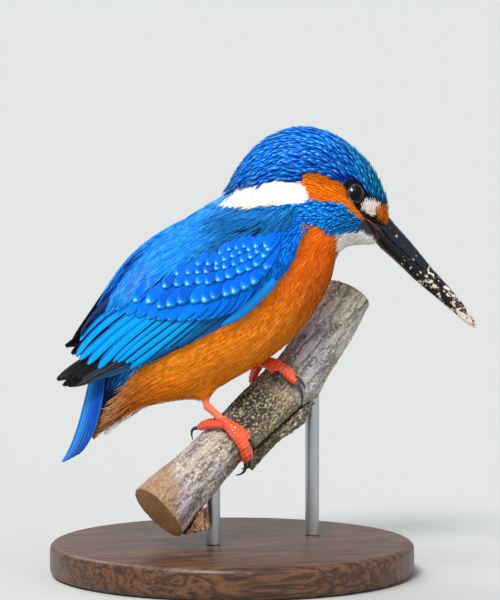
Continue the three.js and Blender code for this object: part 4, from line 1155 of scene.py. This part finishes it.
def tailBlades():  # t runs along the tail and v across it
    line = np.array(tailSizes["line"])
    rows, count = tailSizes["rows"], tailSizes["feathers"]
    t = np.linspace(0, 1, rows)
    steps = np.linspace(0, 1, len(line))
    fitX, fitZ, fitWide = (np.polyval(np.polyfit(steps, line[:, k], 3), t) for k in range(3))
    middle = np.stack([fitX, 0 * t, fitZ], 1)
    along = unit(np.gradient(middle, axis=0))
    inward = np.stack([-along[:, 2], 0 * t, along[:, 0]], 1)
    v = (np.arange(count) - (count - 1) / 2) / (count / 2) * tailSizes["reach"]
    spine = (middle[None] + inward[None] * (tailSizes["arch"] * fitWide[None] * v[:, None] ** 2)[..., None]
             - along[None] * (tailSizes["rounding"] * t[None] ** 2 * v[:, None] ** 2)[..., None])
    spine[..., 1] = v[:, None] * fitWide[None]
    slope = inward[None] * (2 * tailSizes["arch"] * v[:, None, None]) + np.array([0, 1, 0])
    heading = unit(np.gradient(spine, axis=1))
    up = unit(np.cross(heading, slope))
    up = up * np.where(np.sum(up * inward[None], axis=2, keepdims=True) > 0, -1, 1)
    side = unit(np.cross(up, heading)) * np.where(v > 0, 1, -1)[:, None, None]
    side = side * np.where((side[:, :, 1] * v[:, None]) > 0, 1, -1)[..., None]
    lower = 0.25 + 1.0 * np.abs(v)  # the outer feathers lie under the middle pair
    spine = (spine - up * lower[:, None, None]) * mm
    # across the tail, the near feathers are painted darker as shade on its lower side and the far ones
    # lighter as a painted highlight
    far, near = varied(tailSizes["far"], count, 0.06), varied(tailSizes["near"], count, 0.06)
    return {"spine": spine, "up": up, "side": unit(side - up * 0.08), "across": bladeAcross, "arch": 0.1,
            "half": np.full(count, tailSizes["half"] * mm), "thick": 0.2 * mm, "shape": outlineOf[rows],
            "ridge": 0.12 * mm * bladeRidge, "hue": mixed(far, near, smoothStep(0.3, -0.6, v)),
            "spot": varied(tailSizes["inner"], count, 0.1)}


print("tail")
tail = vaneMesh("tail_feathers_all", atlased([tailBlades()]))
settle(tail, bladeFinish("tail vane", 0.5, 0.55))

# Bill: two horn sheaths with a nostril slit, a fleshy gape and dried mud flecks towards the tip
billSizes = {"voxel": 0.2 * mm, "nostril": np.array((46.3, 3.3, 97.2)) * mm, "slit": (1.6 * mm, 0.45 * mm),
             "alongBill": np.array((0.62, 0, -0.78)), "raised": np.array((0.3, 0, 0.25)) * mm,
             "gapeAt": -57 * mm, "flare": (-46.5 * mm, -51.5 * mm), "baseHalf": 4.0 * mm, "proud": 0.15 * mm,
             "slitDepth": 0.55 * mm, "rimHeight": 0.12 * mm, "longer": 1.0 * mm}
billMarks = {"gape": (-46.5 * mm, -52.5 * mm), "lip": (-54.5 * mm, -56 * mm), "seam": (0.34 * mm, 0.16 * mm),
             "mudStarts": (-44.5 * mm, -40.5 * mm), "mudGrows": (-45.5 * mm, -17.5 * mm),
             "mudTip": (-17.5 * mm, -11.5 * mm), "mudHeight": 0.16 * mm}  # places along the bill


def hornPiece(title, node):  # one half of the bill
    piece = copyOf(title, node)
    points = coordinates(piece)
    atHead = hullForm.distance(points) < 0.92 * mm
    back = (billSizes["gapeAt"] - points @ billSizes["alongBill"]) * atHead
    moveTo(piece, points + back[:, None] * billSizes["alongBill"])  # the base reaches in under the feathers
    remade(piece, billSizes["voxel"], 5)
    points = coordinates(piece)
    ahead = points @ billSizes["alongBill"]
    atBase = np.where(ahead < billSizes["flare"][0])[0]  # and broadens to meet the cheek
    cheek, _ = hullForm.fromSide(points[atBase])
    reach = np.where(hullForm.met, -cheek[:, 1] + billSizes["proud"], 0)
    level = np.abs(points[atBase, 1])
    wider = np.maximum(level, np.clip(level / billSizes["baseHalf"] * 1.6, 0, 1) * reach)
    flare = billSide(points[atBase]) * smoothStep(*billSizes["flare"], ahead[atBase])
    points[atBase, 1] = np.sign(points[atBase, 1]) * (level + (wider - level) * flare)
    moveTo(piece, points)
    smoothOut(piece, 3)
    points, ups = coordinates(piece), normalsOf(piece)
    longer = smoothStep(-18 * mm, -10 * mm, points @ billSizes["alongBill"]) * billSizes["longer"]
    points = points + billSizes["alongBill"] * longer[:, None] + billSizes["raised"]
    depth = np.zeros(len(points))
    if node == "bill_upper":
        gap = points * (1, 0, 1) + np.abs(points) * (0, 1, 0) - billSizes["nostril"]
        long = gap @ billSizes["alongBill"]
        wide = np.linalg.norm(gap - long[:, None] * billSizes["alongBill"], axis=1)
        off = np.hypot(long / billSizes["slit"][0], wide / billSizes["slit"][1])
        depth = (billSizes["slitDepth"] * smoothStep(1.25, 0.5, off)
                 - billSizes["rimHeight"] * smoothStep(0.5, 0, np.abs(off - 1.5)))
    moveTo(piece, points - ups * depth[:, None])
    smoothShade(piece)
    return piece


def hornFinish(name, deep, sheen):  # streaked horn, the nostril, the gape and the mud, one over the other
    finish = Finish(name, roughness=0.36, specular=0.24)
    place = finish.place()
    x, _, z = finish.parts(place)
    along = x * 0.62 - z * 0.78
    streak = finish.noise(place, 700, 4, 0.6, (0.35, 1.6, 0.35))
    # the streaks run from the deep colour to a paler blue: partly the horn's own streaks, partly painted
    # sheen
    horn = finish.blend(streak, deep, sheen)
    sided = finish.node("ShaderNodeVectorMath", {"operation": "ABSOLUTE"}, {0: place})
    # at the nostril: a dark red-brown slit, with a pale dot at each end of it as painted highlights
    for step, wide, hue in ((0, 1.5 * mm, "2a0c0c"), (1.5, 0.5 * mm, "b8a0a4"), (-1.3, 0.45 * mm, "8a7074")):
        spot = tuple(billSizes["nostril"] + billSizes["alongBill"] * step * mm)
        off = finish.node("ShaderNodeVectorMath", {"operation": "DISTANCE"}, {0: sided, 1: spot}, "Value")
        horn = finish.blend(finish.ramp(off, wide, 0.5 * wide), horn, tint(hue))
    ahead = (x - 0.039).most(0)
    seam = (z + (x - 0.0368) * 0.78 + ahead * ahead * 18 - 0.1017).size()
    gape = finish.ramp(seam, *billMarks["seam"]) * finish.ramp(along, *billMarks["gape"])
    lip = finish.blend(finish.ramp(along, *billMarks["lip"]), tint("7c2c20"), tint("e8602c"))
    horn = finish.blend(gape, horn, lip)
    fleck = finish.noise(place, 900, 5, 0.62)
    clump = finish.noise(place, 300, 2, 0.5)
    grows, tip, starts = (finish.ramp(along, *billMarks[key]) for key in ("mudGrows", "mudTip", "mudStarts"))
    amount = finish.ramp(fleck + clump * 0.45 + grows * 0.18 + tip * 0.08, 0.895, 0.925) * starts
    mud = finish.blend(finish.noise(place, 2600, 2), tint("d8bfa8"), tint("f6ebdf"))
    finish.colour(finish.blend(amount, horn, mud))
    finish.feed("Roughness", amount * 0.45 + 0.3 + streak * 0.12)
    finish.bump(streak * 0.35 + amount, billMarks["mudHeight"], 0.8)
    return finish


print("bill")
for part, deep, sheen in (("upper", "0a0c12", "1a2434"), ("lower", "0e0c0c", "221e22")):
    horn = hornPiece("bill_%s_horn" % part, "bill_" + part)
    settle(horn, hornFinish(part + " horn", tint(deep), tint(sheen)), ["bill_" + part])

# Eyes: a glossy dark ball with a cornea that stands a little proud; angles in degrees
print("eyes")
eyeFinish = Finish("wet eye", roughness=0.02, specular=0.13)
eyeFinish.colour(eyeFinish.attribute("hue"))
eyeFinish.feed("Coat IOR", 1.8)
eyeFinish.feed("Coat Roughness", 0.02)
eyeFinish.feed("Coat Weight", eyeFinish.attribute("glint"))


def angleFrom(ways, axis):
    return np.degrees(np.arccos(np.clip(ways @ axis, -1, 1)))


for sideName, sign, spot, axis in zip(("right", "left"), (-1, 1), eyeSpots, eyeAxes):
    ball = added("eye_ball_" + sideName, bpy.ops.mesh.primitive_uv_sphere_add, segments=72, ring_count=48,
                 radius=eyeSizes["radius"], location=spot)
    points = coordinates(ball)
    ways = unit(points - spot)
    facing = angleFrom(ways, axis)
    bulge = eyeSizes["bulge"] * np.sqrt(np.clip(1 - (facing / eyeSizes["corneaWide"]) ** 2, 0, 1))
    moveTo(ball, points + ways * bulge[:, None])
    spoke = np.abs(np.sin(np.arctan2(points[:, 2] - spot[2], points[:, 0] - spot[0]) * 31))[:, None]
    hue = tint("0c0605") * (0.8 + 0.5 * spoke)
    hue = np.where((facing < eyeSizes["pupilWide"])[:, None], tint("030303"), hue)
    hue = np.where((facing > eyeSizes["irisWide"])[:, None], tint("0a0808"), hue)
    # painted highlight patch: the coat, and so the top lamp's glint, only round the place where that
    # highlight falls
    glint = smoothStep(*eyeSizes["glint"], angleFrom(ways, np.array((-0.38, sign * 0.71, 0.59))))
    paint(ball.data, "hue", hue)
    paint(ball.data, "glint", glint[:, None] * np.ones((1, 3)))
    smoothShade(ball)
    settle(ball, eyeFinish, ["eye_" + sideName])

# Legs: bare coral skin, ringed by scutes on the toes
footSizes = {"voxel": 0.2 * mm, "scute": 1.05 * mm, "ridge": 0.13 * mm,
             "knees": {"right": np.array((-7.0, -6.6, 62.0)) * mm, "left": np.array((-1.0, 6.0, 63.0)) * mm},
             "joints": {"right": np.array((-4.1, -9.4, 44.1)) * mm, "left": np.array((8.6, 5.2, 59.8)) * mm}}


def legPiece(sideName):
    piece = copyOf("leg_" + sideName, "tarsus_" + sideName, "foot_" + sideName)
    points = coordinates(piece)
    ankle, knee = skinSizes["ankles"][sideName], footSizes["knees"][sideName]
    atThigh = np.linalg.norm(points - ankle, axis=1) < 2.6 * mm
    moveTo(piece, points + atThigh[:, None] * unit(knee - ankle) * 3.4 * mm)  # its top goes in under the coat
    remade(piece, footSizes["voxel"], 9)
    points, ups = coordinates(piece), normalsOf(piece)
    joint = footSizes["joints"][sideName]
    reach = np.linalg.norm(points - joint, axis=1)
    onToe = (points[:, 2] < joint[2] + 1.6 * mm).astype(float)
    toes = onToe * smoothStep(1.2 * mm, 2.2 * mm, reach)
    wave = np.abs(np.sin(np.pi * reach / footSizes["scute"])) ** 0.5
    grain = np.array([noise.noise(Vector(p * 1400)) for p in points])
    rise = footSizes["ridge"] * (toes * (wave - 0.55) * 1.2) + 0.05 * mm * grain
    moveTo(piece, points + ups * rise[:, None])
    # painted light and shade on the toes: lighter on the scute ridges, darker in the grooves between them;
    # the tarsus a little lighter
    hue = tint("ea4014") * (0.72 + 0.45 * wave * toes + 0.25 * (1 - toes))[:, None]
    # a paler wash: painted highlight on the scute ridges, pale flecks from the grain, and the tarsus paler,
    # partly its own pinker colour and partly painted highlight
    pale = smoothStep(0.0, 0.45, grain) * 0.12 + 0.13 * wave * toes + 0.4 * (1 - onToe)
    paint(piece.data, "hue", np.clip(mixed(hue, "f49c70", pale), 0, 1))
    smoothShade(piece)
    return piece


print("legs")
legFinish = Finish("coral skin", roughness=0.26, specular=0.55, coat=0.4)
legFinish.colour(legFinish.attribute("hue"))
legFinish.bump(legFinish.noise(legFinish.place(), 2600, 3), 0.06 * mm, 0.6)
clawFinish = Finish("claw horn", roughness=0.22, specular=0.6)
clawStreak = clawFinish.noise(clawFinish.place(), 500, 2)
clawFinish.colour(clawFinish.blend(clawStreak, tint("1b1a1e"), tint("46424c")))
toeNames = ("inner", "middle", "outer", "hind")
for sideName in ("right", "left"):
    settle(legPiece(sideName), legFinish, ["tarsus_" + sideName, "foot_" + sideName])
    clawNodes = ["claw_%s_%s" % (sideName, toe) for toe in toeNames]
    claws = copyOf("claws_" + sideName, *clawNodes)
    shapeWith(claws, "SUBSURF", levels=2, render_levels=2)
    moveTo(claws, coordinates(claws) - normalsOf(claws) * 0.12 * mm)
    smoothShade(claws)
    settle(claws, clawFinish, clawNodes)

# Perch: bark with cracks, lichen and moss; the stub is peeled
barkSizes = {"voxel": 0.42 * mm, "grain": (0.71, 0.28, 0.66), "stubGrain": (0.3, -0.05, -0.95),
             "groove": 0.42, "flake": 0.18, "sunk": 0.34, "most": (-0.95, 0.12),
             "ends": [((-23.6, -10.3, 19.5), (-10, -3.5, -8.3)), ((37.6, 14.8, 78.2), (6.9, 3.4, 9.4))]}


def worn(piece, kind):  # carves the bark; its features then colour it
    remade(piece, barkSizes["voxel"], 3)
    points, ups = coordinates(piece), normalsOf(piece)
    along = unit(np.array(barkSizes["stubGrain" if kind == "stub" else "grain"]))
    squeezed = points - (points @ along)[:, None] * along * 0.72
    coarse, fine, crack, flake, patch = (np.empty(len(points)) for _ in range(5))
    for n, (p, q) in enumerate(zip(points, squeezed)):
        coarse[n] = noise.fractal(Vector(q * 420), 0.8, 2.1, 4)
        fine[n] = noise.fractal(Vector(p * 1500), 0.7, 2.2, 3)
        near = noise.voronoi(Vector(q * 330 + 0.35 * coarse[n]))[0]
        crack[n] = near[1] - near[0]
        flake[n] = noise.fractal(Vector(p * 1900 + 7.0), 0.6, 2.3, 3)
        patch[n] = noise.fractal(Vector(q * 90 + 3.0), 0.9, 2.0, 3)
    cut = np.zeros(len(points))
    if kind == "branch":
        for end, way in barkSizes["ends"]:
            out = (points - np.array(end) * mm) @ unit(np.array(way))
            cut = np.maximum(cut, smoothStep(-0.5 * mm, -0.15 * mm, out))
    grooves = smoothStep(0.16, 0.0, crack) * (1 - cut)
    raised = smoothStep(0.3, 0.46, flake + 0.3 * patch) * (1 - cut)
    rise = 0.3 * coarse + 0.13 * fine - barkSizes["groove"] * grooves + barkSizes["flake"] * raised
    rise = np.clip(rise - barkSizes["sunk"], *barkSizes["most"]) * mm * (1 - 0.7 * cut)
    moveTo(piece, points + ups * rise[:, None])
    return points, ups, {"coarse": coarse, "fine": fine, "grooves": grooves, "raised": raised, "patch": patch,
                         "cut": cut, "flake": flake}


def barkHue(points, ups, f, kind):
    x, y, z = (points / mm).T
    hue = np.zeros((len(points), 3)) + tint("b4aa9e")
    washes = [("9c8a6e", smoothStep(-0.1, 0.4, f["patch"])),
              ("a29cae", smoothStep(0.0, 0.3, -f["patch"]) * 0.9)]
    if kind == "branch":
        lilac = smoothStep(-0.1, 0.25, f["patch"] * np.sin(x * 0.4)) * 0.6
        washes += [("c4c0d0", smoothStep(15, 22, x) * smoothStep(33, 27, x) * 0.75),
                   ("dcd4c6", smoothStep(26, 32, x) * 0.65),
                   ("8a7450", smoothStep(-4, 6, x) * smoothStep(20, 13, x) * 0.7),
                   ("dcc8b4", smoothStep(2, -8, x) * 0.55), ("a096b8", lilac * smoothStep(0, -6, x))]
    moss = smoothStep(0.0, 0.4, f["patch"] + 0.5 * f["fine"]) * smoothStep(0.0, -0.7, ups[:, 2])
    lichen = mixed(0 * hue + tint("ece6da"), "dccfb0", smoothStep(-6, 2, x) * smoothStep(24, 16, x))
    washes += [("5e5548", smoothStep(0.0, -0.45, f["coarse"]) * 0.55),
               ("c2b8a4", smoothStep(0.1, 0.5, f["fine"]) * 0.6), ("7d7338", moss * 0.7),
               ("3c352c", f["grooves"] * 0.6), (lichen, 0.8 * f["raised"])]
    if kind == "branch":
        # a painted shadow on the branch's top near the feet, near black and broken by the flakes
        byFoot = smoothStep(11, 5, np.hypot(x - 4.5, z - 46.5))
        footShadow = byFoot * smoothStep(0.0, 0.6, ups[:, 2] - 0.3 * ups[:, 1])
        washes += [("2a2521", footShadow * smoothStep(0.5, 0.1, f["flake"]) * 0.85),
                   ("a8805a", smoothStep(-17.5, -21.5, x + 3.2 * f["patch"]) * 0.75)]
    if kind == "twig":
        washes += [("43392f", 0.6 * (1 - f["raised"]))]
    if kind == "stub":
        washes += [("9c6238", 0.8 * (1 - 0.7 * f["raised"])), ("5a3520", f["grooves"] * 0.7)]
    rings = [np.sin(np.linalg.norm(points / mm - end, axis=1) * 7.5) for end, _ in barkSizes["ends"]]
    wood = tint("b08a5c") * (0.7 + 0.45 * (np.maximum(*rings) * 0.5 + 0.5))[:, None]
    for colour, share in (*washes, (wood, f["cut"])):
        hue = mixed(hue, colour, share)
    return np.clip(hue * (1 + 0.22 * f["fine"][:, None]), 0, 1)


print("perch")
barkFinish = Finish("bark", roughness=0.86, specular=0.25)
barkGrain = barkFinish.noise(barkFinish.place(), 2100, 4, 0.65)
barkColour = barkFinish.attribute("hue")
shaded = barkFinish.blend(1.0, barkColour, (0.42, 0.4, 0.38), "MULTIPLY")
barkFinish.colour(barkFinish.blend(barkFinish.ramp(barkGrain, 0.4, 0.62) * 0.45, barkColour, shaded))
barkFinish.bump(barkGrain, 0.3 * mm, 0.7)
for kind, slotName in (("branch", "bark"), ("twig", "bark"), ("stub", "peeled_wood")):
    piece = copyOf("perch_%s_bark" % kind, "perch_" + kind)
    before, ups, features = worn(piece, kind)
    paint(piece.data, "hue", barkHue(before, ups, features, kind))
    smoothShade(piece)
    settle(piece, barkFinish, ["perch_" + kind])

# Stand: an oiled walnut disc and two steel rods
print("stand")
standSizes = {"radius": 52 * mm, "height": 9 * mm, "edge": 1.8 * mm, "rod": 2 * mm, "rodFoot": 9.2 * mm,
              "rods": {"lower": (-6.4 * mm, -4.3 * mm, 28.6 * mm), "upper": (25.4 * mm, 8.7 * mm, 55.6 * mm)}}
base = added("base_disc", bpy.ops.mesh.primitive_cylinder_add, vertices=160, radius=standSizes["radius"],
             depth=standSizes["height"], location=(0, 0, standSizes["height"] / 2))
shapeWith(base, "BEVEL", width=standSizes["edge"], segments=5, limit_method="ANGLE",
          angle_limit=math.radians(50))
pick(base)
bpy.ops.object.shade_smooth_by_angle(angle=math.radians(30))
walnut = Finish("oiled walnut", roughness=0.38, specular=0.45)
grain = walnut.noise(walnut.place(), 38, 5, 0.6, (0.7, 7, 7))
rings = (grain * 34).sine() * 0.5 + 0.5
pores = walnut.noise(walnut.place(), 520, 3, 0.5, (0.12, 1.6, 1.6))
shade = walnut.blend(rings, tint("3a2418"), tint("6a4429"))
walnut.colour(walnut.blend(walnut.ramp(pores, 0.56, 0.68) * 0.7, shade, tint("1e120c")))
walnut.bump(pores, 0.06 * mm, 0.5)
settle(base, walnut, ["stand_base"])
steel = Finish("brushed steel", roughness=0.32, metallic=1.0)
steel.colour(tint("b4b6ba"))
steel.feed("Roughness", steel.noise(steel.place(), 900, 2, 0.5, (1, 1, 0.05)) * 0.25 + 0.22)
for rodName, (x, y, top) in standSizes["rods"].items():
    foot = standSizes["rodFoot"]
    rod = added("rod_" + rodName, bpy.ops.mesh.primitive_cylinder_add, vertices=64, radius=standSizes["rod"],
                depth=top - foot, location=(x, y, (top + foot) / 2))
    bpy.ops.object.shade_smooth_by_angle(angle=math.radians(40))
    settle(rod, steel, ["stand_rod_" + rodName])

# Floor, light and camera
print("studio")
floor = added("floor", bpy.ops.mesh.primitive_circle_add, vertices=96, radius=40, fill_type="NGON",
              location=(0, 0, -0.2 * mm))
floorFinish = Finish("pale floor", roughness=0.9, specular=0.1)
floorFinish.colour(tint("b4b5b3"))
floor.data.materials.append(floorFinish.material)

world = bpy.data.worlds.new("studio")
world.use_nodes = True
sky = world.node_tree.nodes["Background"].inputs
sky["Color"].default_value = (0.88, 0.93, 1.0, 1)
sky["Strength"].default_value = 0.5
bpy.context.scene.world = world
bpy.context.scene.view_settings.view_transform = "Standard"

lamps = {"key": {"from": (-0.55, -0.95, 1.15), "strength": 2.5, "spread": 15, "hue": (1, 0.97, 0.92)},
         "top": {"from": (-0.42, -0.2, 0.88), "strength": 1.2, "spread": 34, "hue": (0.9, 0.95, 1)},
         "fill": {"from": (0.75, -0.9, 0.15), "strength": 1.0, "spread": 90, "hue": (0.92, 0.96, 1)},
         "rim": {"from": (-0.4, 1.0, 1.3), "strength": 1.2, "spread": 40, "hue": (1, 1, 1)}}
for name, lamp in lamps.items():
    bpy.ops.object.light_add(type="SUN", rotation=Vector(lamp["from"]).to_track_quat("Z", "Y").to_euler())
    sun = bpy.context.active_object
    sun.name = name
    sun.data.energy = lamp["strength"]
    sun.data.angle = math.radians(lamp["spread"])
    sun.data.color = lamp["hue"]

view = {"azimuth": math.radians(12), "height": math.radians(5), "away": 1.2, "tall": 169.5 * mm, "film": 24,
        "across": 5.1 * mm, "up": 78 * mm, "behind": 14 * mm}
turned, raised = view["azimuth"], view["height"]
sideways = np.array((math.cos(turned), -math.sin(turned), 0))
level = np.array((math.sin(turned), math.cos(turned), 0))
forwards = level * math.cos(raised) - np.array((0, 0, math.sin(raised)))
upwards = np.cross(sideways, forwards)
target = sideways * view["across"] + upwards * view["up"] - forwards * view["behind"]
bpy.ops.object.camera_add(location=target - forwards * view["away"])
camera = bpy.context.active_object
camera.rotation_euler = Vector(-forwards).to_track_quat("Z", "Y").to_euler()
camera.data.sensor_fit = "VERTICAL"
camera.data.sensor_height = view["film"]
camera.data.lens = view["film"] * view["away"] / view["tall"]
camera.data.clip_end = 100
bpy.context.scene.camera = camera
